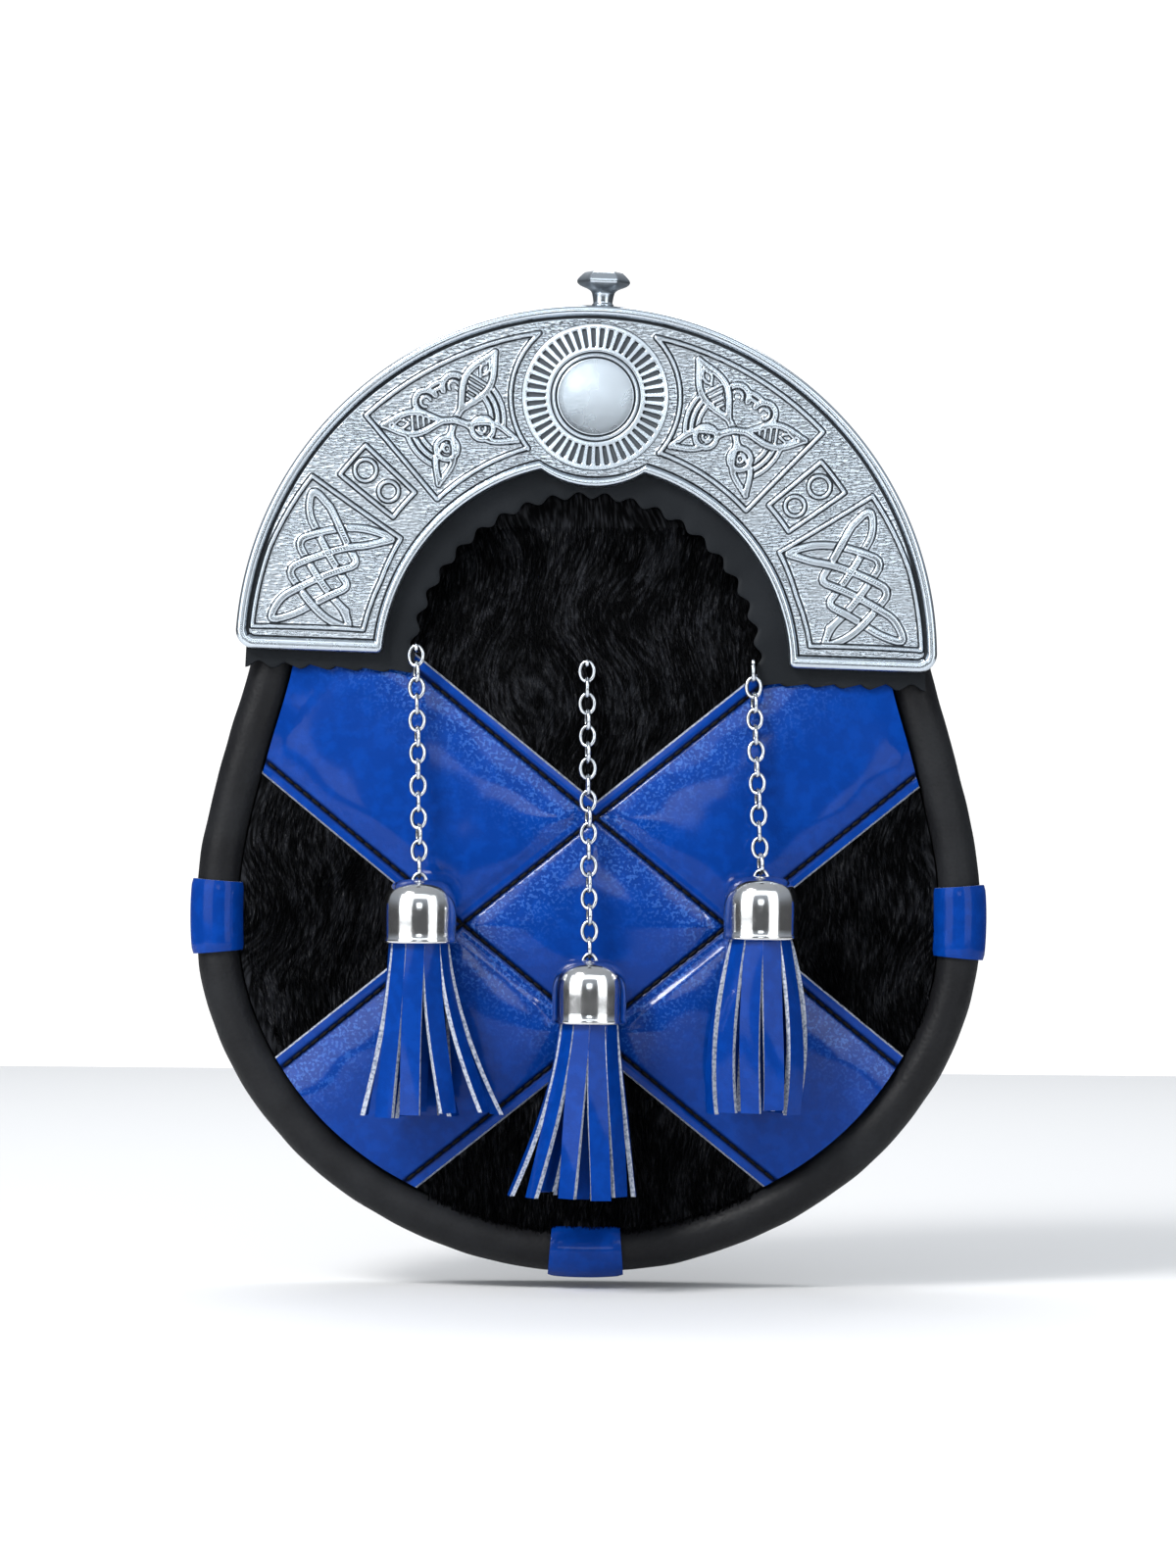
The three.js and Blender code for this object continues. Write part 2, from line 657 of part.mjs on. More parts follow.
function roundelSlots() {
  const count = 46;
  return Array.from({ length: count }, (_, i) => {
    const angle = (2 * Math.PI * i) / count;
    const out = new THREE.Vector2(Math.sin(angle), Math.cos(angle));
    const side = new THREE.Vector2(out.y, -out.x);
    const corner = (r, s) => new THREE.Vector2(r * out.x + s * side.x, ROUNDEL_Z + r * out.y + s * side.y);
    const points = [corner(12.2, -0.38), corner(12.2, 0.38), corner(16.4, 0.5), corner(16.4, -0.5)];
    return slab(shapeOf(points), CANTLE_GROUND_Y, CANTLE_GROUND_Y - 2);
  });
}

// A rounded corner of the right foot, from one direction to another. Its middle lies on a circle
// of the given reach round x = 0 and centreZ.
function footCorner(radius, reach, centreZ, foot, inward) {
  const z = foot + radius;
  const x = Math.sqrt(reach * reach - (z - centreZ) ** 2);
  const away = Math.atan2(z - centreZ, x) - (inward ? Math.PI : 0);
  const [from, to] = inward ? [-Math.PI / 2, away] : [away, -Math.PI / 2];
  return Array.from({ length: 4 }, (_, i) => {
    const angle = THREE.MathUtils.lerp(from, to, i / 3);
    return new THREE.Vector2(x + radius * Math.cos(angle), z + radius * Math.sin(angle));
  });
}

// The cantle's outline, drawn inwards by a margin.
function cantleOutline(margin, steps) {
  const outer = CANTLE_RADIUS - margin;
  const arch = ARCH_RADIUS + margin;
  const swell = ROUNDEL_BULGE_RADIUS + margin;
  const foot = CANTLE_FOOT_Z + margin;
  const outerCorner = OUTER_CORNER - margin;
  const innerCorner = INNER_CORNER - margin;
  const right = [
    ...footCorner(outerCorner, outer - outerCorner, CANTLE_Z, foot, false),
    ...footCorner(innerCorner, arch + innerCorner, ARCH_Z, foot, true),
  ];
  const left = mirrored(right).reverse();
  const degreesOf = (point, centreZ) => THREE.MathUtils.radToDeg(Math.atan2(point.x, point.y - centreZ));
  const outerDeg = degreesOf(right[0], CANTLE_Z);
  const archDeg = degreesOf(right.at(-1), ARCH_Z);
  const apart = ROUNDEL_Z - ARCH_Z;
  const meetZ = (arch * arch - swell * swell + apart * apart) / (2 * apart);
  const meetDeg = THREE.MathUtils.radToDeg(Math.acos(meetZ / arch));
  const swellDeg = THREE.MathUtils.radToDeg(Math.acos((meetZ - apart) / swell));
  return [
    ...arcPoints(outer, -outerDeg, outerDeg, steps).slice(1, -1),
    ...right,
    ...arcPoints(arch, archDeg, meetDeg, Math.round(steps / 3), ARCH_Z).slice(1),
    ...arcPoints(swell, swellDeg, 360 - swellDeg, 8, ROUNDEL_Z).slice(1, -1),
    ...arcPoints(arch, -meetDeg, -archDeg, Math.round(steps / 3), ARCH_Z).slice(0, -1),
    ...left,
  ];
}

function cantle() {
  const steps = 24;
  const plate = slab(shapeOf(cantleOutline(0, steps)), CANTLE_BACK_Y, CANTLE_BORDER_Y + 0.5);
  const border = slab(shapeOf(cantleOutline(0.6, steps)), CANTLE_BACK_Y - 0.5, CANTLE_BORDER_Y);
  const sunk = slab(shapeOf(cantleOutline(CANTLE_BORDER, steps)), CANTLE_GROUND_Y, CANTLE_BORDER_Y - 1);
  const wallFoot = CANTLE_FOOT_Z + OUTER_CORNER - CANTLE_Z;
  const wallDeg = THREE.MathUtils.radToDeg(Math.acos(wallFoot / CANTLE_RADIUS));
  const wallShape = shapeOf([
    ...arcPoints(CANTLE_RADIUS, -wallDeg, wallDeg, steps),
    ...arcPoints(CANTLE_RADIUS - WALL_THICKNESS, wallDeg, -wallDeg, steps),
  ]);
  const wall = slab(wallShape, WALL_BACK_Y, CANTLE_BORDER_Y + 0.5);
  const relief = [
    ...Object.values(FRAMES).map((rows) => ridge(rows.map((r) => polar(r.radius, r.deg)), FRAME_WIDTH, RELIEF, true)),
    ...RINGS.map(ringRelief),
    ...plaitRelief(),
    ...leafRelief(),
  ];
  const half = join(relief);
  const roundel = join([
    disc(ROUNDEL_RADIUS, CANTLE_GROUND_Y + 0.5, CANTLE_GROUND_Y - RELIEF, 28),
    disc(10.6, CANTLE_GROUND_Y, CANTLE_GROUND_Y - RELIEF - 0.4, 20),
  ]).subtract(join(roundelSlots()));
  return join([plate, border]).subtract(sunk).add(wall).add(half).add(half.mirror([1, 0, 0])).add(roundel);
}

// Chains and tassels

function wireRing(points, normalOf, radius, closed) {
  const count = points.length;
  const sections = points.map((point, i) => {
    const before = points[closed ? (i + count - 1) % count : Math.max(i - 1, 0)];
    const after = points[closed ? (i + 1) % count : Math.min(i + 1, count - 1)];
    const along = after.clone().sub(before).normalize();
    const out = normalOf(point, i).clone().addScaledVector(along, -normalOf(point, i).dot(along)).normalize();
    const side = new THREE.Vector3().crossVectors(along, out);
    return Array.from({ length: WIRE_SIDES }, (_, k) => {
      const angle = Math.PI + (2 * Math.PI * k) / WIRE_SIDES;
      return point
        .clone()
        .addScaledVector(out, radius * Math.cos(angle))
        .addScaledVector(side, radius * Math.sin(angle));
    });
  });
  return loft(sections, closed);
}

function chainLink(centre, down, roll) {
  const front = new THREE.Vector3(0, -1, 0);
  const right = new THREE.Vector3().crossVectors(front, down).normalize();
  const across = right.applyAxisAngle(down, roll);
  const points = Array.from({ length: LINK_SIDES }, (_, k) => {
    const angle = (2 * Math.PI * k) / LINK_SIDES;
    return centre
      .clone()
      .addScaledVector(across, LINK_HALF_WIDTH * Math.cos(angle))
      .addScaledVector(down, (LINK_HALF_LENGTH * Math.sin(angle)) / Math.cos(Math.PI / LINK_SIDES));
  });
  return wireRing(points, (point) => point.clone().sub(centre), LINK_WIRE / 2, true);
}

function surfaceFront(base, x, z) {
  return base === "facing" ? FACING_FRONT_Y : HIDE_FRONT_Y - bulge(x, z);
}

// Where a tassel's bell hangs: its side rests on the quilted cross.
function bellAxisY(tassel) {
  const touchZ = tassel.bellZ - BELL_HEIGHT * 0.75;
  const surface = HIDE_FRONT_Y - bulge(tassel.bellX, touchZ) - GAP - CROSS_THICKNESS - CROSS_PADDING;
  return surface - GAP - BELL_RADIUS;
}

function chain(tassel) {
  const base = surfaceFront(tassel.base, tassel.stapleX, tassel.stapleZ) - 2 * GAP;
  const top = new THREE.Vector3(tassel.stapleX, base - GAP - STAPLE_REACH, tassel.stapleZ);
  const lastDepth = BELL_BAR_DEPTH - LINK_HALF_LENGTH + LINK_WIRE / 2 + BELL_BAR_RADIUS + GAP;
  const bottom = new THREE.Vector3(tassel.bellX, bellAxisY(tassel), tassel.bellZ - lastDepth);
  const down = bottom.clone().sub(top).normalize();
  const first = bottom.clone().addScaledVector(down, -LINK_PITCH * (tassel.links - 1));
  const links = Array.from({ length: tassel.links }, (_, i) => {
    const roll = i % 2 === (tassel.links - 1) % 2 ? 0.2 : Math.PI / 2 - 0.15;
    return chainLink(first.clone().addScaledVector(down, LINK_PITCH * i), down, roll);
  });
  const hold = first.clone().addScaledVector(down, -LINK_HALF_LENGTH + LINK_WIRE);
  const eye = [-1, -0.55, 0.3, 1, 1, 0.3, -0.55, -1].map((out, i) => {
    const lift = i < 4 ? 0.75 : -0.75;
    const y = THREE.MathUtils.lerp(base - GAP, hold.y - LINK_WIRE * 0.35, (out + 1) / 2);
    return new THREE.Vector3(hold.x, y, hold.z + LINK_WIRE * 0.35 + lift * (out > 0.9 ? 0.5 : 1));
  });
  const staple = wireRing(eye, (point) => point.clone().sub(new THREE.Vector3(hold.x, hold.y + 2, hold.z)), LINK_WIRE / 2, false);
  return join([...links, staple]);
}

function bell() {
  const half = BELL_RADIUS;
  const inner = half - BELL_WALL;
  const profile = [
    { radius: half, z: -BELL_HEIGHT },
    { radius: half, z: -BELL_HEIGHT * 0.42 },
    { radius: half * 0.93, z: -BELL_HEIGHT * 0.24 },
    { radius: half * 0.74, z: -BELL_HEIGHT * 0.09 },
    { radius: BELL_HOLE_RADIUS, z: 0 },
    { radius: BELL_HOLE_RADIUS, z: -BELL_WALL },
    { radius: inner * 0.74, z: -BELL_HEIGHT * 0.09 - BELL_WALL },
    { radius: inner, z: -BELL_HEIGHT * 0.42 },
    { radius: inner, z: -BELL_HEIGHT },
    { radius: half, z: -BELL_HEIGHT },
  ];
  const bar = new THREE.CylinderGeometry(BELL_BAR_RADIUS, BELL_BAR_RADIUS, 2 * half * 0.72, 6);
  bar.translate(0, 0, -BELL_BAR_DEPTH);
  return turned(profile, 12).add(toSolid(bar));
}

function tasselStrip(row) {
  const angle = THREE.MathUtils.degToRad(row.angle);
  const out = new THREE.Vector3(Math.cos(angle), Math.sin(angle), 0);
  const side = new THREE.Vector3(-out.y, out.x, 0);
  const start = out.clone().multiplyScalar(TASSEL_HEAD_RADIUS - STRIP_THICKNESS / 2);
  const top = -BELL_HEIGHT + 2;
  const sections = [0, 0.05, 0.5, 1].map((share) => {
    const spread = share * (0.4 + 0.6 * share);
    const middle = start
      .clone()
      .addScaledVector(out, row.bow * 4 * share * (1 - share))
      .add(new THREE.Vector3(row.right * spread, -row.front * spread, top - (STRIP_LENGTH + 2) * share));
    const halfWidth = (STRIP_WIDTH / 2) * (share < 0.1 ? 0.86 : 1);
    const at = (s, o) => middle.clone().addScaledVector(side, s * halfWidth).addScaledVector(out, (o * STRIP_THICKNESS) / 2);
    return [at(-1, -1), at(1, -1), at(1, 1), at(-1, 1)];
  });
  return loft(sections);
}

function tassel(side) {
  const head = turned(
    [
      { radius: 0, z: -BELL_HEIGHT },
      { radius: TASSEL_HEAD_RADIUS, z: -BELL_HEIGHT },
      { radius: TASSEL_HEAD_RADIUS, z: -BELL_HEIGHT * 0.42 },
      { radius: TASSEL_HEAD_RADIUS - 1.6, z: -TASSEL_HEAD_DEPTH },
      { radius: 0, z: -TASSEL_HEAD_DEPTH },
    ],
    9,
  );
  return join([head, ...STRIPS[side].map(tasselStrip)]);
}

// The back of the pouch

function gusset() {
  const outer = inset(RIM_RADIUS + 1.2);
  const inner = inset(RIM_RADIUS + 1.2 + LEATHER);
  const back = BACK_Y - LEATHER - GAP;
  const front = RIM_Y + RIM_RADIUS + GAP;
  const sections = outer.map((o, i) => [
    new THREE.Vector3(o.x, front, o.y),
    new THREE.Vector3(inner[i].x, front, inner[i].y),
    new THREE.Vector3(inner[i].x, back, inner[i].y),
    new THREE.Vector3(o.x, back, o.y),
  ]);
  return loft(sections, true);
}

function backPanel() {
  const panel = slab(shapeOf(inset(RIM_RADIUS + 1.2)), BACK_Y, BACK_Y - LEATHER);
  const mouth = roundedBox(MOUTH.halfWidth, MOUTH.top, MOUTH.bottom, MOUTH.corner, MOUTH.corner);
  return panel.subtract(slab(mouth, BACK_Y + 1, BACK_Y - LEATHER - 1, 3));
}

function backFlap() {
  const back = BACK_Y + GAP + LEATHER;
  return slab(roundedBox(FLAP.halfWidth, FLAP.top, FLAP.bottom, 4, FLAP.corner), back, BACK_Y + GAP, 5);
}

function pressStud() {
  const profile = [
    { radius: 0, z: 0 },
    { radius: STUD.radius, z: 0 },
    { radius: STUD.radius * 0.93, z: STUD.height * 0.6 },
    { radius: STUD.radius * 0.6, z: STUD.height },
    { radius: 0, z: STUD.height },
  ];
  return turned(profile, 14).rotate([-90, 0, 0]).translate([0, BACK_Y + 2 * GAP + LEATHER, STUD.z]);
}

// A vertical leather loop whose middle stands off the back, so that the strap passes behind it.
function strapLoop(side) {
  const inner = BACK_Y + GAP;
  const raised = BACK_Y + LOOP.slotDepth;
  const profile = [
    { y: inner, z: -LOOP.halfHeight },
    { y: inner + LEATHER, z: -LOOP.halfHeight },
    { y: inner + LEATHER, z: -LOOP.slotHalfHeight - 2.2 },
    { y: raised + LEATHER, z: -LOOP.slotHalfHeight + 1 },
    { y: raised + LEATHER, z: LOOP.slotHalfHeight - 1 },
    { y: inner + LEATHER, z: LOOP.slotHalfHeight + 2.2 },
    { y: inner + LEATHER, z: LOOP.halfHeight },
    { y: inner, z: LOOP.halfHeight },
    { y: inner, z: LOOP.slotHalfHeight + 0.6 },
    { y: raised, z: LOOP.slotHalfHeight - 1.6 },
    { y: raised, z: -LOOP.slotHalfHeight + 1.6 },
    { y: inner, z: -LOOP.slotHalfHeight - 0.6 },
  ];
  const shape = new THREE.Shape(profile.map((row) => new THREE.Vector2(row.y, row.z)));
  const geometry = new THREE.ExtrudeGeometry(shape, { depth: LOOP.width, bevelEnabled: false });
  const axes = new THREE.Matrix4().makeBasis(
    new THREE.Vector3(0, 1, 0),
    new THREE.Vector3(0, 0, 1),
    new THREE.Vector3(1, 0, 0),
  );
  geometry.applyMatrix4(axes);
  geometry.translate(side * LOOP.x - LOOP.width / 2, 0, 0);
  return toSolid(geometry);
}

// Assembly

const sporran = new THREE.Group();

const pouch = new THREE.Group();
const envelopes = keeperEnvelopes();
pouch.add(
  meshOf("hide_panel", frontSheet(2 * RIM_RADIUS + GAP, -HIDE_THICKNESS, 0).subtract(envelopes), MATERIALS.hide),
  meshOf("edge_roll", edgeRoll(), MATERIALS.blackLeather),
  meshOf("gusset", gusset().subtract(envelopes), MATERIALS.blackLeather),
  meshOf("back_panel", backPanel(), MATERIALS.blackLeather),
  meshOf("back_flap", backFlap(), MATERIALS.blackLeather),
  meshOf("flap_stud", pressStud(), MATERIALS.metal),
  meshOf("strap_loop_left", strapLoop(-1), MATERIALS.blackLeather),
  meshOf("strap_loop_right", strapLoop(1), MATERIALS.blackLeather),
);
sporran.add(pouch);

const trim = new THREE.Group();
trim.add(
  meshOf("diagonal_cross", quiltedCross(), MATERIALS.blueLeather),
  ...KEEPERS.map((keeper) => meshOf(keeper.name, keeperSleeve(keeper), MATERIALS.blueLeather)),
);
sporran.add(trim);

// The cantle, its knob and its facing turn together about the centre of the cantle's outer arc.
const headpiece = new THREE.Group();
headpiece.position.z = CANTLE_Z;
headpiece.rotation.y = THREE.MathUtils.degToRad(CANTLE_TURN_DEG);
const castArch = meshOf("cantle", cantle(), MATERIALS.metal);
const facing = meshOf("pinked_facing", pinkedFacing(), MATERIALS.blackLeather);
castArch.position.z = -CANTLE_Z;
facing.position.z = -CANTLE_Z;
const knob = meshOf("top_knob", turned(KNOB_PROFILE, 12), MATERIALS.metal);
knob.position.set(KNOB_X, (WALL_BACK_Y + CANTLE_BORDER_Y) / 2, CANTLE_RADIUS + GAP);
headpiece.add(castArch, facing, knob);
sporran.add(headpiece);

for (const row of TASSELS) {
  const hung = new THREE.Group();
  hung.position.set(row.bellX, bellAxisY(row), row.bellZ);
  hung.add(
    meshOf(`bell_${row.side}`, bell(), MATERIALS.metal),
    meshOf(`tassel_${row.side}`, tassel(row.side), MATERIALS.blueLeather),
  );
  sporran.add(hung, meshOf(`chain_${row.side}`, chain(row), MATERIALS.metal));
}

export default sporran;
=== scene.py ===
"""A dress sporran, dressed over its CAD frame.

The solids give every piece its place. This script replaces the soft ones and the castings with
finely made meshes, and gives each a finish: blue patent leather, black leathers, hair-on hide,
and cast and polished metal. Sizes are in millimetres, in the frame's axes: +Z is up and the
front faces -Y. Meshes are made in metres.
"""

from __future__ import annotations

import logging
import math
from dataclasses import dataclass, field
from enum import Enum
from typing import Any, Iterable, Mapping, Sequence

import bmesh
import bpy
import numpy as np
from mathutils import Matrix, Vector


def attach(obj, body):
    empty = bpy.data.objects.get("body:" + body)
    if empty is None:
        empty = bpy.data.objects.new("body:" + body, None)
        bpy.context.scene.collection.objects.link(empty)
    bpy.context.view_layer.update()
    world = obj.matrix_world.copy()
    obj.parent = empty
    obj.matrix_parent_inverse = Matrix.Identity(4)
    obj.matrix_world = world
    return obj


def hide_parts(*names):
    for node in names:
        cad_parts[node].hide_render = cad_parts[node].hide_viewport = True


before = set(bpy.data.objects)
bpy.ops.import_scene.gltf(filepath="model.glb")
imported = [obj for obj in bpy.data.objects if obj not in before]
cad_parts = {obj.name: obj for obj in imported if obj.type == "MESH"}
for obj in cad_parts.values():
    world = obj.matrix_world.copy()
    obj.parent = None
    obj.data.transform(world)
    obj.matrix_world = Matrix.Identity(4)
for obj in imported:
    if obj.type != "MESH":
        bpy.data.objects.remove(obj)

LOG = logging.getLogger("sporran")
MM = 0.001
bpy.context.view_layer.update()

Array = np.ndarray
Color = tuple[float, float, float]
Settings = Mapping[str, Any] | None
Inputs = Mapping[int | str, Any] | None


class Slot(Enum):
    """The record's material slots, one named for each new piece."""

    HIDE = "hide"
    ROLL = "roll_leather"
    POUCH = "pouch_leather"
    FACING = "facing_leather"
    CROSS = "cross_leather"
    TASSEL = "tassel_leather"
    CAST = "cantle_metal"
    BRIGHT = "bright_metal"
    CHAIN = "chain_metal"
    STUD = "stud_metal"


# Node trees


class Graph:
    """A node tree under construction."""

    def __init__(self, tree: bpy.types.NodeTree) -> None:
        """Keeps the tree that the nodes go into."""
        self.tree = tree

    def node(self, kind: str, settings: Settings = None, inputs: Inputs = None) -> bpy.types.Node:
        """Adds a node.

        Args:
            kind: the node's type.
            settings: the node's own properties.
            inputs: values, sockets or wires, by the input's name or number.

        Returns:
            The node.
        """
        node = self.tree.nodes.new(kind)
        for key, value in (settings or {}).items():
            setattr(node, key, value)
        for key, value in (inputs or {}).items():
            source = value.socket if isinstance(value, Wire) else value
            if isinstance(source, bpy.types.NodeSocket):
                self.tree.links.new(source, node.inputs[key])
            else:
                node.inputs[key].default_value = source
        return node

    def socket(
        self, kind: str, settings: Settings = None, inputs: Inputs = None, output: int | str = 0
    ) -> bpy.types.NodeSocket:
        """Adds a node and gives one of its outputs.

        Args:
            kind: the node's type.
            settings: the node's own properties.
            inputs: values, sockets or wires, by the input's name or number.
            output: the output's name or number.

        Returns:
            The output.
        """
        return self.node(kind, settings, inputs).outputs[output]

    def vector(self, operation: str, first: Any, second: Any) -> bpy.types.NodeSocket:
        """Adds an operation on two vectors, or on a vector and its scale.

        Args:
            operation: the node's operation.
            first: the first vector.
            second: the second vector, or the scale.

        Returns:
            The result.
        """
        key = "Scale" if operation == "SCALE" else 1
        return self.socket("ShaderNodeVectorMath", {"operation": operation}, {0: first, key: second})


# Shaders


class Wire:
    """A shader socket that takes part in arithmetic."""

    def __init__(self, shader: Shader, socket: bpy.types.NodeSocket) -> None:
        """Keeps the socket and the shader that it belongs to."""
        self.shader = shader
        self.socket = socket

    def maths(self, operation: str, *values: Wire | float) -> Wire:
        """Adds a Math node.

        Args:
            operation: the node's operation.
            values: its inputs, in order.

        Returns:
            The node's result.
        """
        return self.shader.wire("ShaderNodeMath", {"operation": operation}, dict(enumerate(values)))

    def __add__(self, other: Wire | float) -> Wire:
        """Adds."""
        return self.maths("ADD", self, other)

    def __radd__(self, other: float) -> Wire:
        """Adds to a number."""
        return self.maths("ADD", other, self)

    def __sub__(self, other: Wire | float) -> Wire:
        """Subtracts."""
        return self.maths("SUBTRACT", self, other)

    def __rsub__(self, other: float) -> Wire:
        """Subtracts from a number."""
        return self.maths("SUBTRACT", other, self)

    def __mul__(self, other: Wire | float) -> Wire:
        """Multiplies."""
        return self.maths("MULTIPLY", self, other)

    def __rmul__(self, other: float) -> Wire:
        """Multiplies a number."""
        return self.maths("MULTIPLY", other, self)

    def __truediv__(self, other: Wire | float) -> Wire:
        """Divides."""
        return self.maths("DIVIDE", self, other)

    def __pow__(self, other: Wire | float) -> Wire:
        """Raises to a power."""
        return self.maths("POWER", self, other)

    def capped(self, limit: float) -> Wire:
        """Keeps the value from rising over a limit."""
        return self.maths("MINIMUM", self, limit)

    def step(self, low: float, high: float) -> Wire:
        """Rises smoothly from 0 at low to 1 at high.

        Args:
            low: the value that gives 0.
            high: the value that gives 1; it may be the smaller one.

        Returns:
            The smoothed share.
        """
        settings = {"interpolation_type": "SMOOTHSTEP"}
        return self.shader.wire("ShaderNodeMapRange", settings, {0: self, 1: low, 2: high})


class Shader(Graph):
    """A material under construction."""

    def __init__(self, name: str) -> None:
        """Starts an empty material.

        Args:
            name: the material's name.
        """
        self.material = bpy.data.materials.new(name)
        self.material.use_nodes = True
        super().__init__(self.material.node_tree)
        self.tree.nodes.clear()
        self.output = self.node("ShaderNodeOutputMaterial")
        self.place = self.wire("ShaderNodeTexCoord", output="Object")

    def wire(
        self, kind: str, settings: Settings = None, inputs: Inputs = None, output: int | str = 0
    ) -> Wire:
        """Adds a node and gives one of its outputs for arithmetic."""
        return Wire(self, self.socket(kind, settings, inputs, output))

    def noise(
        self, size_mm: float, detail: float = 2.0, place: Wire | None = None, output: int | str = 0
    ) -> Wire:
        """Adds smooth noise.

        Args:
            size_mm: the size of its features.
            detail: how many finer layers it has.
            place: the coordinates it reads, the object's own unless given.
            output: "Color" for three noises in one.

        Returns:
            The noise, from 0 to 1.
        """
        inputs = {"Vector": place or self.place, "Scale": 1 / (size_mm * MM), "Detail": detail}
        return self.wire("ShaderNodeTexNoise", {}, inputs, output)

    def cells(self, size_mm: float, feature: str = "F1", place: Wire | None = None) -> Wire:
        """Adds a cell pattern.

        Args:
            size_mm: the size of a cell.
            feature: which distance the pattern gives.
            place: the coordinates it reads, the object's own unless given.

        Returns:
            The distance, in cells.
        """
        inputs = {"Vector": place or self.place, "Scale": 1 / (size_mm * MM)}
        return self.wire("ShaderNodeTexVoronoi", {"feature": feature}, inputs)

    def mapped(self, place: Wire | bpy.types.NodeSocket, **changes: Color) -> Wire:
        """Gives coordinates scaled or turned, by the names of the Mapping node's inputs."""
        return self.wire("ShaderNodeMapping", {}, {"Vector": place, **changes})

    def attribute(self, name: str) -> Wire:
        """Gives a number stored on the mesh's points."""
        return self.wire("ShaderNodeAttribute", {"attribute_name": name}, output="Fac")

    def blend(self, first: Color | Wire, second: Color | Wire, share: Wire | float) -> Wire:
        """Mixes two colours.

        Args:
            first: the colour at share 0.
            second: the colour at share 1.
            share: how much of the second there is.

        Returns:
            The mixed colour.
        """
        values = {0: share, 6: first, 7: second}
        inputs = {k: (*v, 1.0) if isinstance(v, tuple) else v for k, v in values.items()}
        return self.wire("ShaderNodeMix", {"data_type": "RGBA"}, inputs, output=2)

    def bump(self, height: Wire, depth_mm: float, below: Wire | None = None) -> Wire:
        """Adds a bump.

        Args:
            height: the height, where 1 stands depth_mm above 0.
            depth_mm: the bump's depth.
            below: a coarser bump under this one.

        Returns:
            The bent normal.
        """
        inputs: dict[int | str, Any] = {"Height": height, "Distance": depth_mm * MM, "Strength": 1.0}
        if below is not None:
            inputs["Normal"] = below
        return self.wire("ShaderNodeBump", {}, inputs)

    def surface(self, **inputs: Any) -> bpy.types.Material:
        """Ends the material with one surface shader.

        Args:
            inputs: the shader's sockets, with spaces written as underscores.

        Returns:
            The finished material.
        """
        named = {key.replace("_", " "): value for key, value in inputs.items()}
        shader = self.node("ShaderNodeBsdfPrincipled", {}, named)
        self.tree.links.new(shader.outputs[0], self.output.inputs["Surface"])
        return self.material


@dataclass(frozen=True)
class PatentLeather:
    """Coloured leather under a glossy coat with an orange-peel surface, and a pale painted highlight where it
    is crinkled.
    """

    name: str = "blue_patent_leather"
    deep: Color = (0.0002, 0.029, 0.205)
    bright: Color = (0.0004, 0.037, 0.25)
    pale: Color = (0.045, 0.15, 0.50)
    seam_shade: Color = (0.0004, 0.0012, 0.008)
    peel_mm: float = 0.8
    peel_depth_mm: float = 0.34
    crease_depth_mm: float = 0.07
    roughness: float = 0.45
    specular: float = 0.03
    plain_coat: float = 0.26
    crinkled_coat: float = 0.44
    coat_roughness: float = 0.1

    def material(self) -> bpy.types.Material:
        """Builds the material.

        Returns:
            The material.
        """
        shader = Shader(self.name)
        tone = shader.noise(16, 3)
        creases = shader.noise(3.2, 4).step(0.36, 0.7)
        crinkled = (shader.attribute("crinkle") * (shader.noise(8, 2) * 1.7 + 0.1)).capped(1.0)
        seam = shader.attribute("seam")
        peel = shader.noise(self.peel_mm, 3)
        fine = shader.noise(0.5, 1)
        color = shader.blend(self.deep, self.bright, (tone * 0.6 + creases * 0.4).step(0.25, 0.75))
        # Painted highlight: a pale haze is painted where the leather is crinkled, standing in for the bright
        # overhead light that the crinkles catch.
        color = shader.blend(color, self.pale, crinkled * peel.step(0.52, 0.6) * 0.6)
        # Painted shade: the leather in each seam's groove is darkened to near black.
        color = shader.blend(color, self.seam_shade, seam * 0.9)
        soft = shader.bump(creases, self.crease_depth_mm)
        normal = shader.bump((peel + fine * 0.15) * (0.12 + crinkled), self.peel_depth_mm, soft)
        return shader.surface(
            Base_Color=color,
            Roughness=self.roughness + 0.12 * fine,
            Specular_IOR_Level=self.specular,
            Coat_Weight=(self.plain_coat + self.crinkled_coat * crinkled) * (1.0 - seam),
            Coat_Roughness=self.coat_roughness,
            Coat_IOR=1.5,
            Normal=normal,
        )


@dataclass(frozen=True)
class CutEdge:
    """The pale fibrous edge of cut leather."""

    name: str = "cut_leather_edge"
    pale: Color = (0.42, 0.45, 0.52)
    soiled: Color = (0.12, 0.15, 0.24)

    def material(self) -> bpy.types.Material:
        """Builds the material.

        Returns:
            The material.
        """
        shader = Shader(self.name)
        fibres = shader.noise(0.7, 3)
        color = shader.blend(self.soiled, self.pale, fibres.step(0.3, 0.62))
        return shader.surface(Base_Color=color, Roughness=0.85, Normal=shader.bump(fibres, 0.08))


